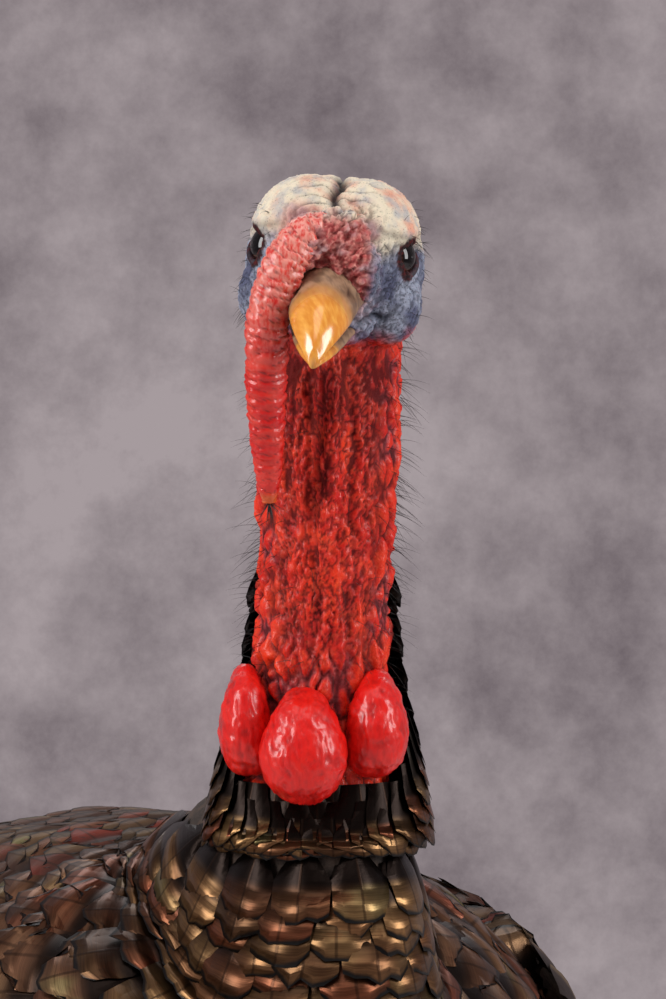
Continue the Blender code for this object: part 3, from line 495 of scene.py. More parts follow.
def sheet_faces(rows, columns, closed=False, start=0):
    """Quads of a grid of points, row by row. A closed grid joins its last column to its first."""
    wide = columns if closed else columns - 1
    r, c = np.meshgrid(np.arange(rows - 1), np.arange(wide), indexing="ij")
    right = (c + 1) % columns
    here, beyond = r * columns, (r + 1) * columns
    quads = np.stack([here + c, here + right, beyond + right, beyond + c], -1)
    return (quads.reshape(-1, 4) + start).tolist()


def tube(line, radii, sides=12, flat=1.0, up=(0, 1, 0)):
    """Points and faces of a closed round bar along a line, with a pole at each end."""
    line = np.asarray(line, float)
    along = np.gradient(line, axis=0)
    along /= np.linalg.norm(along, axis=1)[:, None]
    side = np.cross(along, np.array(up, float))
    side /= np.linalg.norm(side, axis=1)[:, None]
    front = np.cross(side, along)
    turn = np.linspace(0, 2 * math.pi, sides, endpoint=False)
    ring = np.cos(turn)[None, :, None] * side[:, None] + flat * np.sin(turn)[None, :, None] * front[:, None]
    points = line[:, None] + ring * np.asarray(radii, float)[:, None, None]
    points = points.reshape(-1, 3)
    faces = sheet_faces(len(line), sides, True)
    low, high = len(points), len(points) + 1
    last = (len(line) - 1) * sides
    faces += [(low, (i + 1) % sides, i) for i in range(sides)]
    faces += [(high, last + i, last + (i + 1) % sides) for i in range(sides)]
    return np.vstack([points, line[:1], line[-1:]]), faces


def blob(centre, halves):
    """Points and faces of an ellipsoid."""
    around, rows = 24, 14
    faces, points = [], []
    for i in range(1, rows):
        tilt = math.pi * i / rows
        for k in range(around):
            a = 2 * math.pi * k / around
            points.append((math.sin(tilt) * math.cos(a), math.sin(tilt) * math.sin(a), math.cos(tilt)))
    faces += sheet_faces(rows - 1, around, True)
    top, low = len(points), len(points) + 1
    points += [(0, 0, 1), (0, 0, -1)]
    last = (rows - 2) * around
    faces += [(top, (k + 1) % around, k) for k in range(around)]
    faces += [(low, last + k, last + (k + 1) % around) for k in range(around)]
    points = np.array(points) * np.array(halves, float)
    return points + np.array(centre, float), faces


def gathered(parts):
    """Several (points, faces) as one."""
    points, faces, start = [], [], 0
    for some, quads in parts:
        points.append(some)
        faces += [tuple(i + start for i in quad) for quad in quads]
        start += len(some)
    return np.vstack(points), faces


def skinned(parts, voxel, rounds):
    """One even closed skin round several overlapping solids, softened. Returns points and faces."""
    points, faces = gathered(parts)
    mesh = bpy.data.meshes.new("lump")
    mesh.from_pydata((points * MM).tolist(), [], faces)
    lump = bpy.data.objects.new("lump", mesh)
    bpy.context.scene.collection.objects.link(lump)
    even = lump.modifiers.new("even", "REMESH")
    even.mode = "VOXEL"
    even.voxel_size = voxel * MM
    soft = lump.modifiers.new("soft", "SMOOTH")
    soft.factor = 0.5
    soft.iterations = rounds
    made = bpy.data.meshes.new_from_object(lump.evaluated_get(bpy.context.evaluated_depsgraph_get()))
    out = np.empty(len(made.vertices) * 3)
    made.vertices.foreach_get("co", out)
    quads = [tuple(p.vertices) for p in made.polygons]
    bpy.data.objects.remove(lump)
    bpy.data.meshes.remove(made)
    return out.reshape(-1, 3) / MM, quads


def node_solid(name):
    """Points and faces of a solid of the frame."""
    mesh = NODES[name].data
    points = np.empty(len(mesh.vertices) * 3)
    mesh.vertices.foreach_get("co", points)
    return points.reshape(-1, 3) / MM, [tuple(p.vertices) for p in mesh.polygons]


def normals_of(points, faces):
    """Smooth outward direction at each point."""
    quads = np.array([tuple(q) + (q[-1],) * (4 - len(q)) for q in faces])
    a, b, c, d = (points[quads[:, k]] for k in range(4))
    flat = np.cross(c - a, d - b)
    flat = np.where(np.linalg.norm(flat, axis=1)[:, None] < 1e-9, np.cross(b - a, c - a), flat)
    total = np.zeros_like(points)
    for k in range(4):
        np.add.at(total, quads[:, k], flat)
    return total / np.maximum(np.linalg.norm(total, axis=1), 1e-9)[:, None]


def softened(values, faces, rounds):
    """A value at each point, averaged with its neighbours' again and again."""
    pairs = np.array([(q[k], q[(k + 1) % len(q)]) for q in faces for k in range(len(q))])
    for _ in range(rounds):
        total = np.zeros_like(values)
        count = np.zeros_like(values)
        np.add.at(total, pairs[:, 0], values[pairs[:, 1]])
        np.add.at(count, pairs[:, 0], 1)
        values = 0.5 * values + 0.5 * total / np.maximum(count, 1)
    return values


class Surface:
    """A skin that feathers lie on."""

    def __init__(self, points, faces):
        self.points = points
        self.faces = faces
        self.normals = normals_of(points, faces)
        self.tree = BVHTree.FromPolygons([Vector(p) for p in points], faces)

    def lifted(self, height):
        return Surface(self.points + self.normals * height, self.faces)

    def nearest(self, point):
        place, _, index, _ = self.tree.find_nearest(Vector(point))
        corners = list(self.faces[index])
        away = np.linalg.norm(self.points[corners] - np.array(place), axis=1)
        weights = 1 / (away + 0.05)
        normal = (self.normals[corners] * weights[:, None]).sum(0)
        return np.array(place), normal / np.linalg.norm(normal)

    def struck(self, origin, direction):
        place = self.tree.ray_cast(Vector(origin), Vector(direction))[0]
        return None if place is None else np.array(place)


# ---------------------------------------------------------------- feathers


class Plumage:
    """Feathers that become one piece."""

    def __init__(self):
        self.points = []
        self.faces = []
        self.values = {key: [] for key in ("along", "across", "chance", "hue", "reach")}
        self.count = 0

    def add(self, grid, along, across, length, hue=0.0):
        rows, columns = grid.shape[:2]
        self.faces += sheet_faces(rows, columns, start=self.count)
        self.points.append(grid.reshape(-1, 3))
        self.count += rows * columns
        self.values["along"].append(along.ravel())
        self.values["across"].append(across.ravel())
        self.values["chance"].append(np.full(rows * columns, rng.random()))
        self.values["hue"].append(np.full(rows * columns, hue))
        self.values["reach"].append((along * length).ravel())

    def made(self, name, material, body, replaces=(), slot="feather"):
        values = {key: np.concatenate(numbers) for key, numbers in self.values.items()}
        return mesh_piece(name, np.vstack(self.points), self.faces, material, body, replaces, values)


def vane(rows, columns, round_tip, tip_power, root=0.35, ragged=0.04):
    """A feather's flat pattern: how far along and across each point is, and its half width as a share."""
    along, across = np.meshgrid(np.linspace(0, 1, rows), np.linspace(-1, 1, columns), indexing="ij")
    width = root + (1 - root) * smooth(0, 0.5, along)
    width *= 1 - 0.28 * smooth(0.82, 1, along) * (tip_power < 3)
    tip = 1 - round_tip * np.abs(across) ** tip_power * along**3
    frayed = 1 + rng.normal(0, ragged, columns)[None] * smooth(0.7, 1, along)
    return along * tip * frayed, along, across, width


def laid_feather(plumage, surface, root, heading, length, width, lift, tip, curl, hue, grid):
    """A feather that hugs the surface: its root touches it, its tip stands off it, its edges bend down."""
    reach, along, across, share = vane(grid[0], grid[1], tip[0], tip[1])
    place, normal = surface.nearest(root)
    heading = heading - normal * heading.dot(normal)
    heading = heading / max(np.linalg.norm(heading), 1e-9)
    side = np.cross(heading, normal)
    twist = rng.normal(0, 0.06)
    c, s = math.cos(twist), math.sin(twist)
    heading, side = heading * c + side * s, side * c - heading * s
    out = np.empty((*reach.shape, 3))
    foot, top = lift
    jitter = rng.normal(0, 0.12) * (top - foot)
    for i in range(grid[0]):
        for k in range(grid[1]):
            flat = place + heading * reach[i, k] * length + side * across[i, k] * share[i, k] * width / 2
            low, up = surface.nearest(flat)
            height = foot + (top - foot + jitter) * (1.3 * along[i, k] - 0.35 * along[i, k] ** 3)
            height -= curl * width * across[i, k] ** 2 * (0.4 + 0.6 * along[i, k])
            out[i, k] = low + up * max(height, 0.15)
    plumage.add(out, along, across, length, hue)


def straight_feather(plumage, root, heading, up, length, width, camber, bend, tip, hue, grid, stub=0.25):
    """A stiff feather on its own: a cambered blade from root along heading, arched up the middle."""
    reach, along, across, share = vane(grid[0], grid[1], tip[0], tip[1], stub, 0.012)
    heading = heading / np.linalg.norm(heading)
    side = np.cross(heading, up)
    side /= np.linalg.norm(side)
    up = np.cross(side, heading)
    wide = across * share * width / 2
    height = -camber * width * across**2 * 0.5 + bend * length * along**2
    out = root + heading * (reach * length)[..., None] + side * wide[..., None] + up * height[..., None]
    plumage.add(out, along, across, length, hue)


# ---------------------------------------------------------------- body: skin and rows of feathers


def grown(points, faces, extra):
    """A solid with every face moved outward a little, so that thin shells survive being evened."""
    return points + normals_of(points, faces) * extra, faces


def body_surface():
    """The form and its folded wings as one even, soft surface, with the form's bores closed."""
    form = node_solid("body_form")
    parts = [form]
    for name, extra in (("neck_socket", (2, 2, 3)), ("stake_socket_tube", (2, 2, 0))):
        low, high = (np.array(c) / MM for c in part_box(name))
        parts.append(blob((low + high) / 2, (high - low) / 2 + extra))
    for word in ("left", "right"):
        for layer in ("flight_feathers", "wing_coverts"):
            parts.append(grown(*node_solid(f"{word}_{layer}"), 2.2))
    points, faces = skinned(parts, HULL_VOXEL, 10)
    core = Surface(*form)
    away = np.array([core.tree.find_nearest(Vector(p))[3] for p in points])
    lift = softened(UNDER_SKIN - 11 * smooth(3, 16, away), faces, 6)
    return Surface(points + normals_of(points, faces) * lift[:, None], faces), core


def comb(place, normal):
    """The way the feathers lie at a point of the body: down the neck and breast, back along the body."""
    back = float(smooth(-168, -70, place[1]))
    target = np.array([0.0, back, -0.85 + 0.5 * back * float(smooth(12, 80, NECK_AXIS[2] - place[2]))])
    heading = target - normal * target.dot(normal)
    size = np.linalg.norm(heading)
    return heading / size if size > 1e-6 else np.array([0.0, 1.0, 0.0])


def combed_lines(surface, count=108, step=4.0, longest=760.0):
    """Lines that run over the body from the top of the neck, the way the feathers lie."""
    lines = []
    for k in range(count):
        angle = 2 * math.pi * k / count
        out = np.array([math.cos(angle), math.sin(angle), 0.0])
        start = NECK_AXIS + out * 150 - (0, 0, 5)
        place = surface.struck(start, -out)
        line = [place]
        while len(line) < longest / step:
            here, normal = surface.nearest(line[-1])
            heading = comb(here, normal)
            ahead, _ = surface.nearest(here + heading * step)
            if np.linalg.norm(ahead - here) < step * 0.3:
                break
            line.append(ahead)
        while len(line) < longest / step:
            line.append(line[-1])
        lines.append(line)
    return np.array(lines)


def feather_size(place):
    """Width that one feather shows at this place on the body."""
    x, y, z = place.T
    drop = NECK_AXIS[2] - z
    back = smooth(-70, 60, y)
    side = smooth(14, 50, np.abs(x + 6))
    return 10.5 + 2.6 * smooth(0, 60, drop) + 1.6 * smooth(60, 200, drop) + 4.2 * back + 2.0 * side


def row_points(lines, sizes, pace):
    """Rows of places across the combed lines, a row for each step of pace sizes."""
    steps = np.linalg.norm(np.diff(lines, axis=1), axis=2)
    passed = np.cumsum(steps / (pace * sizes[:, 1:]), axis=1)
    count = np.concatenate([np.zeros((len(lines), 1)), passed], axis=1)
    moving = np.concatenate([steps > 0.5, np.zeros((len(lines), 1), bool)], axis=1)
    rows = []
    for level in range(int(count.max())):
        at, heading, size, alive = [], [], [], []
        for line, total, wide, live in zip(lines, count, sizes, moving):
            i = min(int(np.searchsorted(total, level, "right")) - 1, len(line) - 2)
            gap = total[i + 1] - total[i]
            t = (level - total[i]) / gap if gap > 1e-9 else 0
            at.append(line[i] + (line[i + 1] - line[i]) * min(max(t, 0), 1))
            heading.append(line[i + 1] - line[i])
            size.append(wide[i])
            alive.append(live[i] and level <= total[-1])
        rows.append((np.array(at), np.array(heading), np.array(size), np.array(alive)))
    return rows


def spread_along(at, heading, size, alive, phase, pack=1.0):
    """Evenly packed places along one closed row: place, heading and size."""
    nxt = np.roll(at, -1, axis=0)
    gaps = np.linalg.norm(nxt - at, axis=1) / (size * pack)
    total = np.concatenate([[0], np.cumsum(gaps)])
    number = max(int(round(total[-1])), 3)
    found = []
    for n in range(number):
        want = (n + phase) / number * total[-1]
        i = min(int(np.searchsorted(total, want, "right")) - 1, len(at) - 1)
        j = (i + 1) % len(at)
        t = (want - total[i]) / max(gaps[i], 1e-9)
        if alive[i] and alive[j]:
            found.append((at[i] + (at[j] - at[i]) * t, heading[i] + (heading[j] - heading[i]) * t, size[i]))
    return found


def make_body_feathers(surface, core, finishes):
    """Rows of feathers over the body, in four tracts."""
    lines = combed_lines(surface)
    sizes = feather_size(lines.reshape(-1, 3)).reshape(lines.shape[:2])
    tracts = {name: Plumage() for name in ("breast", "cape", "back", "belly")}
    for level, (at, heading, size, alive) in enumerate(row_points(lines, sizes, 0.5)):
        for place, way, wide in spread_along(at, heading, size, alive, 0.5 * (level % 2), 1.42):
            if np.linalg.norm(way) < 1e-6:
                continue
            on_wing = abs(place[0]) > 60 and core.tree.find_nearest(Vector(place))[3] > 9.5
            if on_wing and (place[1] > 120 or place[1] > -20 and 296 < place[2] < 404):
                continue
            drop = NECK_AXIS[2] - place[2]
            front = smooth(-60, -110, place[1])
            square = smooth(0.3, 0.8, front) * smooth(52, 26, abs(place[0] + 8))
            tip = (0.34 - 0.2 * square, 2.0 + 2.4 * square)
            length = wide * (2.1 + 0.25 * rng.random())
            lift = (0.3, 3.2 + 0.12 * wide)
            hue = rng.random()
            name = "breast" if square > 0.4 and drop < 130 else "cape"
            if place[1] > -62:
                name = "back" if place[2] > 300 else "belly"
            elif drop >= 130:
                name = "belly"
            detail = (8, 7) if name in ("breast", "cape") else (7, 5)
            laid_feather(tracts[name], surface, place, way, length, wide * 1.85, lift, tip, 0.03, hue, detail)
    tracts["breast"].made("breast_feathers", finishes["bronze"], "bird", ["breast_skin"])
    tracts["cape"].made("cape_feathers", finishes["golden"], "bird", ["shoulder_cape"])
    tracts["back"].made("back_feathers", finishes["brown"], "bird", ["back_skin"])
    tracts["belly"].made("belly_feathers", finishes["dusky"], "bird", ["left_flank_skin", "right_flank_skin"])


def make_under_skin(surface, finishes):
    skin = surface.lifted(-UNDER_SKIN_SUNK)
    mesh_piece("under_skin", skin.points, skin.faces, finishes["under"], "bird", ["body_form"])


# ---------------------------------------------------------------- wings


def wing_surface(side, node):
    """A smooth sheet through one layer of the wing: the distance from the middle plane at any (y, z)."""
    points = node_solid(node)[0]
    powers = [(i, k) for i in range(5) for k in range(5 - i)]

    def shares(at_y, at_z):
        return (at_y - WING_MIDDLE[0]) / WING_HALF[0], (at_z - WING_MIDDLE[1]) / WING_HALF[1]

    y, z = shares(points[:, 1], points[:, 2])
    basis = [y**i * z**k for i, k in powers]
    fit = np.linalg.lstsq(np.stack(basis, 1), np.abs(points[:, 0]), rcond=None)[0]

    def out(at_y, at_z):
        u, v = shares(at_y, at_z)
        return side * sum(f * u**i * v**k for f, (i, k) in zip(fit, powers))

    return out


def wing_feather(plumage, sheet, side, root, tip, width, height, hue, shape, grid, camber, sag=0.0):
    """A feather on the wing's sheet from root to tip, both (y, z). It stands off by height at each end."""
    reach, along, across, share = vane(grid[0], grid[1], shape[0], shape[1], 0.3, 0.015)
    root, tip = np.array(root, float), np.array(tip, float)
    way = tip - root
    length = np.linalg.norm(way)
    normal = np.array([-way[1], way[0]]) / length
    flat = root + way * reach[..., None] + normal * (across * share * width / 2)[..., None]
    flat = flat + normal * (sag * length * np.sin(math.pi * along))[..., None]
    proud = height[0] + (height[1] - height[0]) * along - camber * width * across**2
    x = sheet(flat[..., 0], flat[..., 1]) + side * proud
    plumage.add(np.stack([x, flat[..., 0], flat[..., 1]], -1), along, across, length, hue)


def make_wing(side, word, finishes):
    """The feathers of a folded wing. Each set is roots, tips, count, width, height and finish."""
    sheet = wing_surface(side, f"{word}_flight_feathers")
    sets = {
        "primaries": (
            [(4, 272), (24, 284)],
            [(140, 262), (190, 266), (218, 284)],
            9, 28, (2.6, 3.4), "barred",
        ),
        "secondaries": (
            [(58, 288), (84, 330), (92, 400)],
            [(204, 282), (256, 316), (262, 358), (216, 392)],
            15, 36, (3.6, 4.4), "secondary",
        ),
        "greater_coverts": (
            [(58, 282), (78, 330), (82, 404)],
            [(118, 284), (150, 318), (154, 358), (136, 402)],
            14, 27, (6.0, 7.0), "brown",
        ),
    }
    for name, (roots, tips, count, width, height, finish) in sets.items():
        feathers = Plumage()
        for i, (root, tip) in enumerate(zip(through(roots, count), through(tips, count))):
            proud = (height[0] + 0.16 * i, height[1] + 0.16 * i)
            hue = 0.3 + 0.5 * rng.random()
            shape = (0.22, 2.2)
            wing_feather(feathers, sheet, side, root, tip, width, proud, hue, shape, (12, 5), 0.06, -0.02)
        piece = feathers.made(f"{word}_{name}", finishes[finish], "bird", slot="wing_feather")
        if name == "primaries":
            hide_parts(f"{word}_flight_feathers")
    low, high = (np.array(c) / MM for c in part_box(f"{word}_wing_coverts"))
    coverts = Plumage()
    rows = 15
    for row in range(rows):
        t = row / (rows - 1)
        y = high[1] - 74 - (high[1] - low[1] - 72) * t
        size = 19 - 6.5 * t
        span = (high[2] - low[2]) * (0.62 + 0.28 * math.sin(math.pi * min(t + 0.15, 1)))
        middle = (high[2] + low[2]) / 2 + 2 - 2 * t
        number = int(span / (size * 0.8))
        for k in range(number + 1):
            z = middle - span / 2 + span * (k + 0.5 * (row % 2)) / number
            shift = rng.normal(0, 1.3, 3)
            root = (y + 24 * ((z - middle) / span) ** 2 + shift[0], z + shift[1])
            tip = (root[0] + size * 2.4 + shift[2], root[1] - size * 0.35 * (1 - t) - shift[1])
            height = (6.4 + 0.14 * row, 8.6 + 0.14 * row)
            hue = rng.random()
            wing_feather(coverts, sheet, side, root, tip, size * 1.35, height, hue, (0.28, 2.4), (7, 5), 0.1)
    coverts.made(f"{word}_coverts", finishes["brown"], "bird", [f"{word}_wing_coverts"], "wing_feather")


# ---------------------------------------------------------------- tail


def tail_feather(plumage, slant, layer):
    """One tail feather in the fan's own axes, from the bolt outwards."""
    angle = math.radians(slant)
    heading = np.array([math.sin(angle), math.cos(angle), 0.0])
    height = layer * BLADE_PITCH
    root = heading * 14 + np.array([0, 0, height])
    up = np.array([0, 0, 1.0])
    length = FAN_LENGTH - 18
    straight_feather(plumage, root, heading, up, length, 50, 0.03, 0.0, (0.09, 2.2), 0.0, (16, 7))


def make_rump(surface, finishes):
    """Feathers of the rump and vent, which cross the tail hinge."""
    feathers = Plumage()
    hinge = np.array(JOINTS["tail_lift"]["pos_m"]) / MM
    for up, count, span, reach, drop in ((1, 7, 54, 66, -0.34), (-1, 5, 46, 50, -0.42)):
        for row in range(count):
            y = hinge[1] - 18 - 11 * row
            number = 10 - row // 2
            for k in range(number):
                s = (k + 0.25 + 0.5 * (row % 2)) / number * 2 - 1
                start = np.array([s * span, y + 5 * s * s, hinge[2] + up * 160])
                place = surface.struck(start, np.array([0, 0, -float(up)]))
                if place is None:
                    continue
                place = place + np.array([0, 0, up * (0.8 + 0.5 * row)])
                heading = np.array([-0.24 * s, 1.0, drop - 0.05 * up * row])
                out = np.array([0.5 * s, 0.0, float(up)])
                length = reach * (0.95 + 0.1 * rng.random())
                bend, tip = -0.03 * up, (0.28, 2.2)
                hue = rng.random()
                straight_feather(feathers, place, heading, out, length, 25, 0.14, bend, tip, hue, (8, 5))
    piece = feathers.made("rump_feathers", finishes["brown"], None)
    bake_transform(piece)


def make_tail(finishes):
    """The feathers of the fan, each pair riding on its own body, and the coverts over their roots."""
    layers = 2 * FAN_SIDES
    groups = [("middle_tail_feathers", 0, "tail")]
    for i in range(1, FAN_SIDES + 1):
        groups.append((f"left_tail_feathers_{i}", i, f"tail_left_{i}"))
        groups.append((f"right_tail_feathers_{i}", -i, f"tail_right_{i}"))
    for depth, (node, step, body) in enumerate(groups):
        feathers = Plumage()
        for half in (-1, 1):
            slant = step * FAN_REST_STEP + half * FEATHER_APART / 2
            tail_feather(feathers, slant, layers - depth + 0.5 + 0.22 * half)
        feathers.points = [transformed(FAN_FRAME, p) for p in feathers.points]
        feathers.made(node.replace("_tail", "_rectrix"), finishes["tail"], body, [node], "tail_feather")
    for node, up, count in (("upper_tail_coverts", 1, 8), ("under_tail_coverts", -1, 7)):
        corners = transformed(np.array(FAN_FRAME.inverted()), node_solid(node)[0])
        level = corners[:, 2].mean()
        start, end = corners[:, 1].min(), corners[:, 1].max()
        pad = Plumage()
        for row in range(count):
            t = row / (count - 1)
            out = end - 52 - (end - start - 62) * t
            number = int(9 - 4 * t)
            for k in range(number):
                s = (k + 0.25 + 0.5 * (row % 2)) / number * 2 - 1
                angle = COVERT_FAN * s
                heading = np.array([math.sin(angle), math.cos(angle), -0.03 * up])
                height = level + up * (0.8 * row - 2 - 2.5 * s * s)
                root = np.array([out * math.sin(angle), out * math.cos(angle), height])
                length = 58 + 6 * rng.random()
                facing = np.array([0.25 * s, 0.0, float(up)])
                tip, hue = (0.25, 2.2), rng.random()
                straight_feather(pad, root, heading, facing, length, 27, 0.08, -0.02, tip, hue, (7, 5))
        pad.points = [transformed(FAN_FRAME, p) for p in pad.points]
        pad.made(node + "_feathers", finishes["brown"], "tail", [node])


# ---------------------------------------------------------------- head and neck


def neck_rings():
    """The bare neck, in its own axes, from the seam to inside the head.

    Rows: height, half width, half depth, lean."""
    around = 40
    rows = [
        (0.9, 24.5, 26, 0),
        (10, 22.5, 24.5, 0.3),
        (40, 20.6, 22.5, 1.2),
        (85, 20.6, 22.0, 2.8),
        (120, 21.8, 23, 4.2),
        (160, 20, 22, 5.6),
    ]
    line = through(rows, 26)
    turn = np.linspace(0, 2 * math.pi, around, endpoint=False)
    rings = [
        np.stack([lean + w * np.cos(turn), -1 + d * np.sin(turn), np.full(around, z)], 1)
        for z, w, d, lean in line
    ]
    points = np.vstack(rings)
    faces = sheet_faces(len(line), around, True)
    faces.append(tuple(range(around - 1, -1, -1)))
    faces.append(tuple(range((len(line) - 1) * around, len(line) * around)))
    return points, faces


def head_lumps():
    """The solids that the head is built up from, in the head's own axes."""
    return [
        blob((0, 6, 0.5), (27.5, 31, 27.5)),
        blob((0, -8, 3), (25, 20, 22)),
        blob((9, 0, 10), (17, 25, 18)),
        blob((-9, 0, 10), (17, 25, 18)),
        blob((17.5, -9, 13), (8, 12, 6)),
        blob((-17.5, -9, 13), (8, 12, 6)),
        blob((17, -4, -9), (11, 14, 13)),
        blob((-17, -4, -9), (11, 14, 13)),
        blob((0, -22, 6), (13, 10, 12)),
        blob((2, -20, -13), (13, 10, 9)),
        blob((1, -25, 12), (11, 8, 8)),
        blob((4, -28, 5), (12, 6.5, 7)),
        blob((-5, -29, 10), (9, 8, 7)),
        blob((-10, -32, 7), (6.5, 7, 7)),
        blob((10, -26, 0), (6, 7, 7)),
    ]


def eye_frame(side):
    outward = Vector((side * 0.86, -0.48, 0.1)).normalized()
    turned = outward.to_track_quat("Z", "Y").to_matrix().to_4x4()
    return Matrix.Translation((side * EYE_ASIDE, EYE_Y, EYE_Z)) @ turned


def make_head_skin(finishes):
    """One skin over neck, head and throat fold, sculpted, with the masks that its colours follow."""
    neck_points, neck_faces = neck_rings()
    parts = [(transformed(NECK_FRAME, neck_points), neck_faces)]
    parts += [(transformed(HEAD_FRAME, points), faces) for points, faces in head_lumps()]
    rows = [
        (4, -20, 150, 5),
        (4.5, -24, 132, 5.5),
        (3, -23.5, 108, 4.2),
        (1.5, -22, 84, 2.6),
        (0, -21, 70, 1.6),
    ]
    fold = through(rows, 30)
    wattle = tube(fold[:, :3], fold[:, 3], 14)
    parts.append((transformed(NECK_FRAME, wattle[0]), wattle[1]))
    points, faces = skinned(parts, SKIN_VOXEL, 7)
    skin = Surface(points, faces)
    n = transformed(np.array(NECK_FRAME.inverted()), points)
    h = transformed(np.array(HEAD_FRAME.inverted()), points)
    angle = np.degrees(np.arctan2(n[:, 0] - 2, -n[:, 1]))
    up_neck = n[:, 2]
    on_head = smooth(-30, -19, h[:, 2] - 0.25 * (h[:, 1] + 10))

    # warts of the neck: small and wrinkled in front, large and oval at the sides and foot
    coarse = np.clip(smooth(30, 58, np.abs(angle)) + smooth(78, 30, up_neck), 0, 1)
    small_middle, small_edge = pebbles(n, 3.2, (0.85, 0.85, 1.7), 1.0)
    big_middle, big_edge = pebbles(n, 6.4, (0.8, 0.85, 1.45), 0.45, 9.0)
    small = smooth(0.0, 0.42, small_edge) * (1 - 0.4 * small_middle)
    big = smooth(0.0, 0.42, big_edge) * (1.05 - 0.7 * big_middle)
    drawn = n * (1, 1, 0.3)
    folds = np.sin(np.radians(angle) * 15 + 3.4 * clouds(drawn, 9, 3))
    rough = clouds(n, 1.8, 3)
    calm = 0.6 + 0.8 * smooth(-0.5, 0.5, clouds(n, 20))
    wart = (1 - coarse) * (0.85 * small + 0.5 * folds) + coarse * (2.2 * big + 0.25 * small)
    neck_relief = wart * calm - 1.1 + 0.22 * rough
    # painted shade in the grooves between the warts and in the hollows of the folds
    neck_crease_shade = (1 - coarse) * smooth(0.22, 0.02, small_edge) * 0.85 + coarse * smooth(0.26, 0.03, big_edge)
    neck_crease_shade += (1 - coarse) * smooth(-0.4, -1.0, folds) * 0.5

    # crown: a groove down the middle, folds across, pebbles on the cheeks, rings round the eyes
    x, y, z = h.T
    wide = np.abs(x)
    crown = smooth(8, 15, z) * smooth(-27, -20, y)
    groove = crown * bell(x + 0.8 * np.sin(y * 0.35), 1.7) * smooth(16, 22, z + 0.2 * y + 8)
    bend = y + 0.02 * x**2 + 2.6 * clouds(h, 9) + 0.5 * np.sign(x)
    ripple = np.sin(bend * math.pi / 4.9)
    crown_fold = crown * (1.5 * np.abs(ripple) ** 0.5 - 1.1) * smooth(19, 7, wide)
    brow = smooth(-27, -20, y) * bell(z - 17 + 0.2 * wide, 1.3) * smooth(6, 12, wide) * smooth(8, -2, y)
    eye_r = np.minimum(
        np.linalg.norm(h - (EYE_ASIDE + 4.5, EYE_Y - 3, EYE_Z), axis=1),
        np.linalg.norm(h - (-EYE_ASIDE - 4.5, EYE_Y - 3, EYE_Z), axis=1),
    )
    rings = np.sin(eye_r * 2 * math.pi / 2.5) * smooth(7, 8.5, eye_r) * smooth(15, 10, eye_r)
    cheek_middle, cheek_edge = pebbles(h, 2.3, warp=0.2, seed=4.0)
    cheek = smooth(0, 0.35, cheek_edge) * (1 - 0.5 * cheek_middle)
    face = smooth(-15, -23, y) * smooth(20, 11, wide) * smooth(-22, -12, z)
    snout = np.sin(np.hypot(x + 6, z - 17) * 2 * math.pi / 4.4 + 5.5 * clouds(h * (0.7, 1, 1.3), 7, 3))
    head_relief = 0.55 * cheek * (1 - 0.6 * crown) + crown_fold - 2.7 * groove + 0.22 * rings - 0.5 * brow
    head_relief += face * (0.8 * snout + 0.3 * clouds(h, 1.6, 2)) + 0.22 * clouds(h, 2.0, 3)
    # painted shade in the crown's groove and folds, between the cheek pebbles, round the snout and under the
    # brow
    fold_crease_shade = crown * smooth(0.35, 0.05, np.abs(ripple)) * 0.8 * smooth(18, 6, wide)
    head_crease_shade = np.clip(1.1 * groove + fold_crease_shade, 0, 1)
    head_crease_shade = np.maximum(head_crease_shade, 0.75 * (1 - crown) * smooth(0.2, 0.03, cheek_edge))
    head_crease_shade = np.maximum(head_crease_shade, face * smooth(-0.5, -0.9, snout) * 0.6)
    head_crease_shade = np.maximum(head_crease_shade, 0.5 * brow)
    # the gape is grooved in and gets painted shade too
    gape = bell(z + 13.5 - 0.1 * wide - 0.8 * np.sin(x), 1.1)
    gape = gape * smooth(8, 11, wide) * smooth(22, 18, wide) * smooth(-4, -9, y)
    head_relief -= 1.3 * gape
    head_crease_shade = np.maximum(head_crease_shade, gape)

    red = smooth(-13, -21, z + 3.0 * clouds(h, 7) - 0.12 * y)
    relief = neck_relief * (1 - on_head) + head_relief * on_head
    relief *= smooth(0.0, 5.0, up_neck)
    crease = neck_crease_shade * (1 - on_head) + head_crease_shade * on_head
    pale = smooth(5, 12, z + 3.5 * clouds(h, 7))
    pink = face * smooth(-16, -6, z)
    pink = pink * smooth(21, 15, z + 0.12 * x + 2.5 * clouds(h, 6))
    pink = pink * smooth(18, 12, np.abs(x + 2) + 3 * clouds(h, 5))
    bare = 0.45 * coarse * (1 - on_head) * smooth(0.26, 0.1, big_edge) * smooth(0, 0.5, clouds(n, 16) + 0.1)
    # painted shade under the chin, on the front of the neck below the head
    painted_throat_shade = bell(up_neck - 138, 16) * smooth(70, 30, np.abs(angle)) * 0.55
    nape = smooth(84, 100, np.abs(angle)) * smooth(84, 70, up_neck + 6 * clouds(n, 8))
    crease = np.clip(crease + painted_throat_shade * (1 - on_head), 0, 1)
    rim = smooth(7.4, 6.6, eye_r) * on_head
    points = points + skin.normals * relief[:, None]

    # sockets for the eyes
    for side in (1, -1):
        socket = HEAD_FRAME @ eye_frame(side)
        centre = transformed(np.array(socket), np.zeros((1, 3)))[0]
        away = points - centre
        size = np.linalg.norm(away, axis=1)
        inside = size < EYE_R + 1.5
        axis = np.array(socket.to_3x3() @ Vector((0, 0, 1)))
        outer = away @ axis > 1.6
        sunk = inside & outer
        points[sunk] = centre + away[sunk] / size[sunk][:, None] * (EYE_R - 0.9)
    values = {"red": red, "pale": pale * (1 - red), "pink": pink * (1 - red)}
    values.update({"crease": crease, "bare": bare, "rim": rim, "nape": nape})
    skin_nodes = ["head_cast", "neck_skin", "throat_wattle"]
    paint = finishes["skin"]
    mesh_piece("head_and_neck_skin", points, faces, paint, "head", skin_nodes, values)
    return skin, n, h


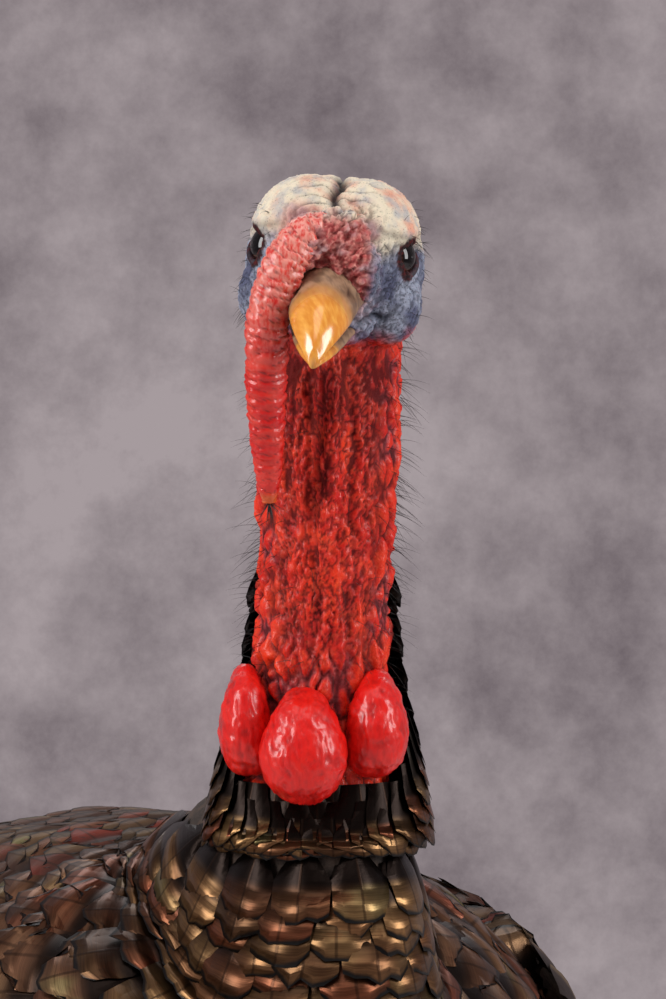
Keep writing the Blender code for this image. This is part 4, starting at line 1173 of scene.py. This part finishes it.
def make_eyes(finishes):
    """A domed glass eye on each side, and the two lids round it."""
    for side, word in ((1, "left"), (-1, "right")):
        matrix = HEAD_FRAME @ eye_frame(side)
        rows, around, rim = 14, 32, 1.25
        tilt = np.linspace(0.02, rim, rows)
        turn = np.linspace(0, 2 * math.pi, around, endpoint=False)
        grid = np.stack(
            [
                EYE_R * np.sin(tilt)[:, None] * np.cos(turn),
                EYE_R * np.sin(tilt)[:, None] * np.sin(turn),
                EYE_R * np.cos(tilt)[:, None] * np.ones(around),
            ],
            -1,
        ).reshape(-1, 3)
        grid = np.vstack([grid, [(0, 0, EYE_R)]])
        faces = sheet_faces(rows, around, True)
        faces += [(len(grid) - 1, k, (k + 1) % around) for k in range(around)]
        values = {"across": np.append(np.repeat(tilt / rim, around), 0)}
        name, glass = f"{word}_glass_eye", finishes["eye"]
        mesh_piece(name, grid, faces, glass, "head", [f"{word}_eye"], values, matrix)
        lids = []
        for sign in (1, -1):
            t = np.linspace(-1, 1, 22)
            wide = 6.7 * t
            tall = sign * (6.2 if sign > 0 else 5.9) * (1 - t**2) ** 0.6 + 1.2 * t * side
            depth = np.sqrt(np.maximum((EYE_R + 0.9) ** 2 - wide**2 - tall**2, 2.5))
            line = np.stack([wide, tall, depth], 1)
            lids.append(tube(line, 0.75 + 0.3 * (1 - t**2), 10, up=(0, 0, 1)))
        points, quads = gathered(lids)
        # the lids carry a little painted crease shade
        flat = {"red": 0, "pale": 0, "pink": 0, "crease": 0.1, "bare": 0, "rim": 0.9, "nape": 0}
        values = {key: np.full(len(points), value) for key, value in flat.items()}
        name, paint = f"{word}_eye_lids", finishes["skin"]
        mesh_piece(name, points, quads, paint, "head", [f"{word}_eyelid"], values, matrix)


def make_beak(finishes):
    """The upper beak is ridged and hooks over the lower. Rows: ahead of the head, ridge, gape, half width."""
    upper = [
        (-3, 4, -12, 12),
        (3, 4.2, -13, 11.3),
        (10, 1.6, -15, 10.4),
        (18, -3.0, -17, 9.2),
        (26, -9.0, -19.5, 6.8),
        (31, -15, -22.5, 3.8),
        (33.5, -19.5, -25.5, 1.3),
    ]
    lower = [
        (-2, -13, -20, 10.5),
        (6, -14.5, -21, 9.2),
        (14, -17, -23, 7.6),
        (22, -20, -25, 5.0),
        (27, -23, -26, 1.8),
    ]
    steps, around = 34, 36
    for word, rows, keel in (("upper", upper, 1.0), ("lower", lower, -1.0)):
        line = through(rows, steps)
        turn = np.linspace(0, 2 * math.pi, around, endpoint=False)
        c, s = np.cos(turn), np.sin(turn)
        points, base = [], []
        for ahead, top, bottom, half in line:
            middle = bottom + (top - bottom) * (0.35 if keel > 0 else 0.6)
            up = np.where(s > 0, top - middle, middle - bottom)
            pinch = 1 - 0.22 * np.clip(s * keel, 0, 1) ** 2
            wide = half * c * np.abs(c) ** 0.08 * pinch
            points.append(np.stack([wide, np.full(around, BEAK_ROOT_Y - ahead), middle + up * s], 1))
            base.append(np.full(around, float(smooth(25, 15, ahead + 3 * rng.random()))))
        points = np.vstack(points)
        tone_base = np.concatenate(base)
        # painted shade in the sunk nostrils, through the crease mask
        crease = np.zeros(len(points))
        if keel > 0:
            for side in (1, -1):
                hole = np.array([side * 8.2, BEAK_ROOT_Y - 9, -4.5])
                near = np.linalg.norm((points - hole) / (1.6, 3.2, 1.2), axis=1)
                crease = np.maximum(crease, smooth(1.2, 0.7, near))
                points[near < 1.3] -= np.array([side * 1.0, 0, 0])
        faces = sheet_faces(steps, around, True)
        faces += [tuple(range(around - 1, -1, -1)), tuple(range((steps - 1) * around, steps * around))]
        values = {"base": tone_base, "crease": crease}
        name, horn = f"{word}_bill", finishes["horn"]
        mesh_piece(name, points, faces, horn, "head", [f"{word}_beak"], values, HEAD_FRAME)


def make_snood(finishes):
    """The snood starts between the eyes, drapes over one side of the beak and hangs to below it."""
    rows = [
        (-2, -27, 13, 6.5),
        (-8, -33, 10.5, 6.6),
        (-13, -36, 1.5, 6.9),
        (-16, -36, -14, 6.8),
        (-15.6, -32, -31, 6.5),
        (-14.4, -27, -48, 5.6),
        (-13, -22.5, -62, 4.2),
        (-12.3, -20.5, -71, 2.2),
    ]
    steps, sides = 240, 40
    line = through(rows, steps)
    length = np.concatenate([[0], np.cumsum(np.linalg.norm(np.diff(line[:, :3], axis=0), axis=1))])
    wobble = np.array([noise.noise(Vector((s * 0.11, 3.0, 0))) for s in length])
    phase = length * 2 * math.pi / 3.1 + 5 * wobble
    points, faces = tube(line[:, :3], line[:, 3] * 0.93, sides, 0.85)
    body_points = points[:-2].reshape(steps, sides, 3)
    middle = line[:, None, :3]
    out = body_points - middle
    around = np.linspace(0, 2 * math.pi, sides, endpoint=False)
    flat = body_points.reshape(-1, 3)
    lumps = clouds(flat, 3.0, 3).reshape(steps, sides)
    skew = np.abs(np.sin((phase[:, None] + 2.2 * np.sin(around)[None] + 2.6 * lumps) * 0.5)) ** 0.6
    scale = 1 + 0.14 * (skew - 0.6) + 0.1 * lumps
    body_points = middle + out * scale[..., None]
    points[:-2] = body_points.reshape(-1, 3)
    # painted shade in the deep folds between the wrinkles
    crease = np.append(0.8 * smooth(0.5, 0.12, skew).ravel(), (0, 0))
    tip = np.append(np.repeat(smooth(0.955, 0.985, length / length[-1]), sides), (0, 1))
    faded = np.append(np.repeat(smooth(0.62, 0.1, length / length[-1]), sides), (1, 0))
    values = {"crease": crease, "tip": tip, "faded": faded}
    skin = finishes["snood"]
    mesh_piece("wrinkled_snood", points, faces, skin, "head", ["snood"], values, HEAD_FRAME)
    return line


def make_caruncles(finishes):
    """The three lobes at the foot of the bare neck."""
    for word in ("middle", "right", "left"):
        node = f"{word}_caruncle"
        solid = transformed(np.array(NECK_FRAME.inverted()), node_solid(node)[0])
        low, high = solid.min(0), solid.max(0)
        centre, half = (low + high) / 2, (high - low) / 2
        side = {"middle": 0, "right": -1, "left": 1}[word]
        lumps = [
            blob(centre, half * (1.0, 1.05, 1.0)),
            blob(centre + (0.1 * side, 1.5, half[2] * 0.45), half * (0.82, 1.0, 0.72)),
            blob(centre + (-side * half[0] * 0.3, 0, -half[2] * 0.32), half * (0.75, 0.95, 0.66)),
            blob(centre + (0, 6, half[2] * 0.8), half * (0.6, 0.8, 0.5)),
        ]
        points, faces = skinned(lumps, LOBE_VOXEL, 6)
        lobe = Surface(points, faces)
        stretched = points * (1.0, 1.0, 0.32)
        warp = clouds(points, 7.0)
        streak = np.sin(points[:, 0] * 2.6 + 0.8 * points[:, 2] + 6 * warp + 1.5 * clouds(stretched, 2.2, 2))
        dent = clouds(points, 5.0, 2)
        relief = 0.1 * streak + 0.45 * dent
        points = points + lobe.normals * relief[:, None]
        # painted shade in the sunk streaks and dents
        crease = smooth(-0.4, -1.0, streak) * 0.3 + smooth(-0.25, -0.6, dent) * 0.5
        none = np.zeros(len(points))
        values = {"crease": np.clip(crease, 0, 1), "tip": none, "faded": none}
        skin = finishes["caruncle"]
        mesh_piece(f"{word}_lobe", points, faces, skin, "head", [node], values, NECK_FRAME)


def bristle(root, way, length, width, bend):
    """A thin tapered hair as points and faces."""
    t = np.linspace(0, 1, 5)
    line = root + way * (t * length)[:, None] + bend * (t**2 * length)[:, None]
    return tube(line, width * (1 - 0.85 * t), 3, up=(0.3, 0.5, 0.81))


def make_bristles(skin, n, h, snood, finishes):
    """Sparse black hairs on the sides of the neck and cheeks, and a tuft at the snood's tip."""
    hairs = []
    angle = np.degrees(np.arctan2(n[:, 0] - 2, -n[:, 1]))
    chance = 0.25 + smooth(35, 75, np.abs(angle))
    chance *= smooth(10, 30, n[:, 2]) * smooth(26, 12, h[:, 2])
    chance[(np.abs(h[:, 0]) < 12) & (h[:, 1] < -16)] = 0
    picks = rng.choice(len(n), 1100, replace=False, p=chance / chance.sum())
    for i in picks:
        on_head = h[i, 2] > -20
        way = skin.normals[i] + np.array([0, 0, -0.25]) + rng.normal(0, 0.3, 3)
        way /= np.linalg.norm(way)
        long = rng.uniform(1.5, 5) if on_head else rng.uniform(4, 11)
        hairs.append(bristle(skin.points[i], way, long, 0.11, np.array([0, 0, -0.25])))
    tip = transformed(np.array(HEAD_FRAME), snood[-3:, :3])
    for _ in range(22):
        way = tip[-1] - tip[0]
        way = way / np.linalg.norm(way) + rng.normal(0, 0.28, 3)
        way = way / np.linalg.norm(way)
        hairs.append(bristle(tip[-1], way, rng.uniform(4, 9), 0.16, np.array([0, 0, -0.1])))
    points, faces = gathered(hairs)
    mesh_piece("bristles", points, faces, finishes["bristle"], "head")


def make_nape(finishes):
    """Short feathers up the back and sides of the neck's foot, and a ruff round its front."""
    nape, ruff = Plumage(), Plumage()
    rises = np.linspace(78, -1, 17)
    for row, rise in enumerate(rises):
        back = 24 + 13 * smooth(70, 0, rise) ** 1.3
        half = 21.5 + 9.5 * smooth(74, 4, rise)
        front = 25.5 + 5.5 * smooth(18, 0, rise)
        open_angle = 60 + 50 * smooth(8, 60, rise)
        size = 7.4 + 3.4 * smooth(76, 10, rise)
        number = int(2 * math.pi * (back + half) / 2 / (size * 0.86))
        for k in range(number):
            turn = 2 * math.pi * (k + 0.5 * (row % 2)) / number
            away = abs(math.degrees(turn) - 180)
            if away > 180 - open_angle * float(smooth(12, 20, rise)):
                continue
            c, s = -math.sin(turn), -math.cos(turn)
            deep = (back if s > 0 else front) - 0.6
            out = np.array([c, s, 0.0])
            root = np.array([2.2 * rise / 80 + half * c, deep * s, rise])
            heading = np.array([0, 0, -1.0]) + out * RUFF_FLARE
            reach = size * 1.9 if rise > 14 else (7.5 + 0.85 * rise) * (0.9 + 0.35 * rng.random())
            tract = nape if s > 0.1 or rise > 22 else ruff
            up = out + np.array([0, 0, 0.2])
            wide = size * 1.5 if tract is nape else size * 1.75
            hue = rng.random()
            straight_feather(tract, root, heading, up, reach, wide, 0.06, 0.01, (0.3, 2.2), hue, (7, 7), 0.6)
    for tract in (nape, ruff):
        tract.points = [transformed(NECK_FRAME, p) for p in tract.points]
    nape.made("nape_plumage", finishes["nape"], "head", ["nape_feathers"])
    ruff.made("throat_ruff", finishes["bronze"], "head")


# ---------------------------------------------------------------- beard and made parts


def make_beard(finishes):
    """Coarse hairs bound at the root, hanging in front of the breast."""
    low, high = (np.array(c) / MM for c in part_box("beard"))
    points = node_solid("beard")[0]
    strands = []
    for _ in range(150):
        a = rng.uniform(0, 2 * math.pi)
        r = math.sqrt(rng.random())
        dx, dy = r * math.cos(a), r * math.sin(a)
        long = rng.uniform(0.72, 1.0)
        rows = []
        for t in np.linspace(0, 1, 9):
            z = high[2] - 5 - (high[2] - low[2] - 5) * t * long
            near = points[np.abs(points[:, 2] - z) < 18]
            front = near[:, 1].min() + 5
            spread = 3.2 + 4.2 * math.sin(math.pi * min(t * 0.75 + 0.1, 1))
            rows.append((dx * spread, front + dy * spread * 0.55 + (5 if t == 0 else 0), z))
        strands.append(tube(through(rows, 14), np.linspace(0.75, 0.3, 14), 4, up=(0.3, 0.9, 0.1)))
    rows = [(0, low[1] + 32, high[2] - 6), (0, low[1] + 14, high[2] - 6), (0, low[1] + 4, high[2] - 14)]
    root = through(rows, 12)
    strands.append(tube(root, np.linspace(4.4, 5.6, 12), 14, up=(1, 0, 0)))
    points, faces = gathered(strands)
    mesh_piece("beard_bristles", points, faces, finishes["bristle"], "bird", ["beard"])


def dress_solids(finishes):
    """A finish for each solid that stays as it is."""
    wear = {
        "galvanised": ["ground_stake", "stake_collar", "collar_screw", "tail_bracket", "tail_hinge_pin"],
        "black": ["foot_step", "neck_plug"],
        "nylon": ["stake_socket_tube", "socket_bearing_plug", "neck_socket", "thrust_washer"],
        "rubber": ["neck_friction_ring"],
        "epoxy": ["tail_block"],
        "foam": ["neck_core"],
    }
    wear["galvanised"] += ["fan_bolt", "fan_nut", "neck_wire", "left_bracket_screw", "right_bracket_screw"]
    wear["galvanised"] += [f"{s}_{w}_wing_wire" for s in ("left", "right") for w in ("front", "rear")]
    for name, nodes in wear.items():
        for node in nodes:
            mesh = NODES[node].data
            mesh.materials.clear()
            mesh.materials.append(finishes[name])
            mesh.shade_smooth()
            mesh.set_sharp_from_angle(angle=math.radians(35))


def make_finishes():
    """Every finish by its short name.

    Feather rows: name, dark, warm, bright and copper tones, metal, roughness."""
    feathers = {
        "bronze": ("bronze_feathers", (22, 15, 12), (100, 68, 46), (146, 112, 74), (120, 66, 46), 0.85, 0.27),
        "golden": ("golden_feathers", (26, 18, 14), (108, 74, 54), (150, 112, 82), (128, 72, 56), 0.82, 0.3),
        "nape": ("dark_neck_feathers", (22, 17, 13), (88, 64, 46), (122, 96, 66), (104, 62, 46), 0.8, 0.32),
        "brown": ("brown_feathers", (34, 24, 20), (78, 54, 44), (104, 82, 56), (112, 48, 38), 0.25, 0.5),
        "dusky": ("dusky_feathers", (24, 18, 16), (62, 44, 34), (84, 64, 46), (90, 48, 36), 0.45, 0.4),
    }
    # Red rows: name, the painted shade for the creases, the red, and its lighter patches.
    reds = {
        "snood": ("snood_skin", (84, 6, 8), (190, 18, 16), (204, 52, 38)),
        "caruncle": ("caruncle_skin", (120, 4, 6), (200, 12, 8), (208, 26, 16)),
    }
    made = {"skin": skin_finish(), "horn": horn_finish(), "eye": eye_finish()}
    for key, (name, *tones) in reds.items():
        made[key] = gloss_red_finish(name, *(tone(*t) for t in tones))
    for key, (name, *tones, metal, gloss) in feathers.items():
        made[key] = feather_finish(name, *(tone(*t) for t in tones), metal, gloss)
    pale, dark = tone(120, 100, 80), tone(50, 38, 31)
    made["secondary"] = barred_finish("secondary_feathers", pale, dark, 9.0, None, None)
    pale, dark = tone(178, 170, 158), tone(40, 34, 31)
    made["barred"] = barred_finish("primary_feathers", pale, dark, 9.0, None, None)
    pale, dark, end = tone(120, 74, 46), tone(44, 30, 22), tone(150, 84, 46)
    made["tail"] = barred_finish("tail_feathers", pale, dark, 5.5, (0.8, 0.91), end)
    made["under"] = plain_finish("under_down", tone(36, 27, 22), tone(60, 45, 35), 5, 0.85, bump=0.5)
    made["bristle"] = plain_finish("black_bristle", tone(12, 10, 10), tone(30, 24, 22), 3, 0.4)
    bright, duller = tone(150, 152, 154), tone(178, 180, 182)
    made["galvanised"] = plain_finish("galvanised_steel", bright, duller, 14, 0.36, 0.9)
    black, worn = tone(22, 22, 24), tone(120, 112, 104)
    made["black"] = plain_finish("black_paint", black, tone(30, 30, 32), 8, 0.4, 0.2, wear=worn)
    made["nylon"] = plain_finish("natural_nylon", tone(222, 216, 200), tone(232, 228, 216), 10, 0.42)
    made["rubber"] = plain_finish("black_rubber", tone(20, 20, 21), tone(30, 30, 31), 4, 0.7)
    grey, paler = tone(128, 124, 116), tone(146, 140, 130)
    made["epoxy"] = plain_finish("modelling_epoxy", grey, paler, 5, 0.6, bump=0.3)
    made["foam"] = plain_finish("carved_foam", tone(206, 186, 136), tone(222, 204, 156), 3, 0.85, bump=0.4)
    return made


# ---------------------------------------------------------------- stage, light and camera


def make_stage():
    sides = 96
    turn = np.linspace(0, 2 * math.pi, sides, endpoint=False)
    wide = FLOOR_RADIUS * np.cos(turn) + FLOOR_MIDDLE[0]
    deep = FLOOR_RADIUS * np.sin(turn) + FLOOR_MIDDLE[1]
    ring = np.stack([wide, deep, np.zeros(sides)], 1)
    material = plain_finish("pale_floor", tone(196, 190, 190), tone(202, 196, 196), 220, 0.75, bump=0.02)
    floor = mesh_piece("floor", ring, [tuple(range(sides))], material, None)


def area_light(name, place, aim, size, power, colour=(1, 1, 1)):
    light = bpy.data.lights.new(name, "AREA")
    light.shape = "RECTANGLE"
    light.size, light.size_y = size
    light.energy = power
    light.color = colour
    lamp = bpy.data.objects.new(name, light)
    bpy.context.scene.collection.objects.link(lamp)
    lamp.location = place
    lamp.rotation_euler = (Vector(aim) - Vector(place)).to_track_quat("-Z", "Y").to_euler()


def make_light_and_camera():
    scene = bpy.context.scene
    scene.view_settings.view_transform = "Standard"
    world = bpy.data.worlds.new("studio")
    scene.world = world
    world.use_nodes = True
    sky = ShaderTree(world.node_tree)
    where = sky.node("TexCoord").outputs["Generated"]
    fine = sky.node("TexNoise", None, {"Vector": where, "Scale": 46, "Detail": 8, "Roughness": 0.68})
    broad = sky.node("TexNoise", None, {"Vector": where, "Scale": 9})
    both = (Amount(sky, fine.outputs["Fac"]) + Amount(sky, broad.outputs["Fac"])) * 0.5
    mottle = sky.ramp(both, [(0.38, tone(108, 98, 103)), (0.62, tone(166, 155, 158))])
    back = world.node_tree.nodes["Background"]
    sky.feed(back.inputs["Color"], mottle)
    sky.feed(back.inputs["Strength"], 1.0)

    azimuth, height = math.radians(NECK_TURN), math.radians(4.7)
    facing = Vector((math.sin(azimuth), -math.cos(azimuth), 0))
    right = Vector((math.cos(azimuth), math.sin(azimuth), 0))
    aim = Vector((0, NECK_AXIS[1] * MM, 0.583)) + right * 0.005
    area_light("left_box", aim + facing * 0.55 - right * 1.15 + Vector((0, 0, 0.45)), aim, (0.45, 1.1), 19)
    area_light("right_box", aim + facing * 0.5 + right * 1.2 + Vector((0, 0, 0.4)), aim, (0.45, 1.1), 17)
    area_light("top_box", aim + facing * 0.5 + Vector((0, 0, 1.5)), aim, (1.2, 1.2), 8)
    area_light("back_box", aim - facing * 1.4 + Vector((0, 0, 0.9)), aim - Vector((0, 0, 0.2)), (1.2, 0.8), 5)

    camera = bpy.data.objects.new("camera", bpy.data.cameras.new("camera"))
    scene.collection.objects.link(camera)
    away = facing * math.cos(height) + Vector((0, 0, math.sin(height)))
    camera.location = aim + away * CAMERA_AWAY
    camera.rotation_euler = (-away).to_track_quat("-Z", "Y").to_euler()
    camera.data.lens = CAMERA_LENS
    camera.data.sensor_width = 36
    scene.camera = camera


def main():
    finishes = make_finishes()
    coat, core = body_surface()
    make_under_skin(coat, finishes)
    make_body_feathers(coat, core, finishes)
    make_rump(coat, finishes)
    for side, word in ((1, "left"), (-1, "right")):
        make_wing(side, word, finishes)
    make_tail(finishes)
    skin, n, h = make_head_skin(finishes)
    make_eyes(finishes)
    make_beak(finishes)
    snood = make_snood(finishes)
    make_caruncles(finishes)
    make_bristles(skin, n, h, snood, finishes)
    make_nape(finishes)
    make_beard(finishes)
    dress_solids(finishes)
    make_stage()
    make_light_and_camera()


main()
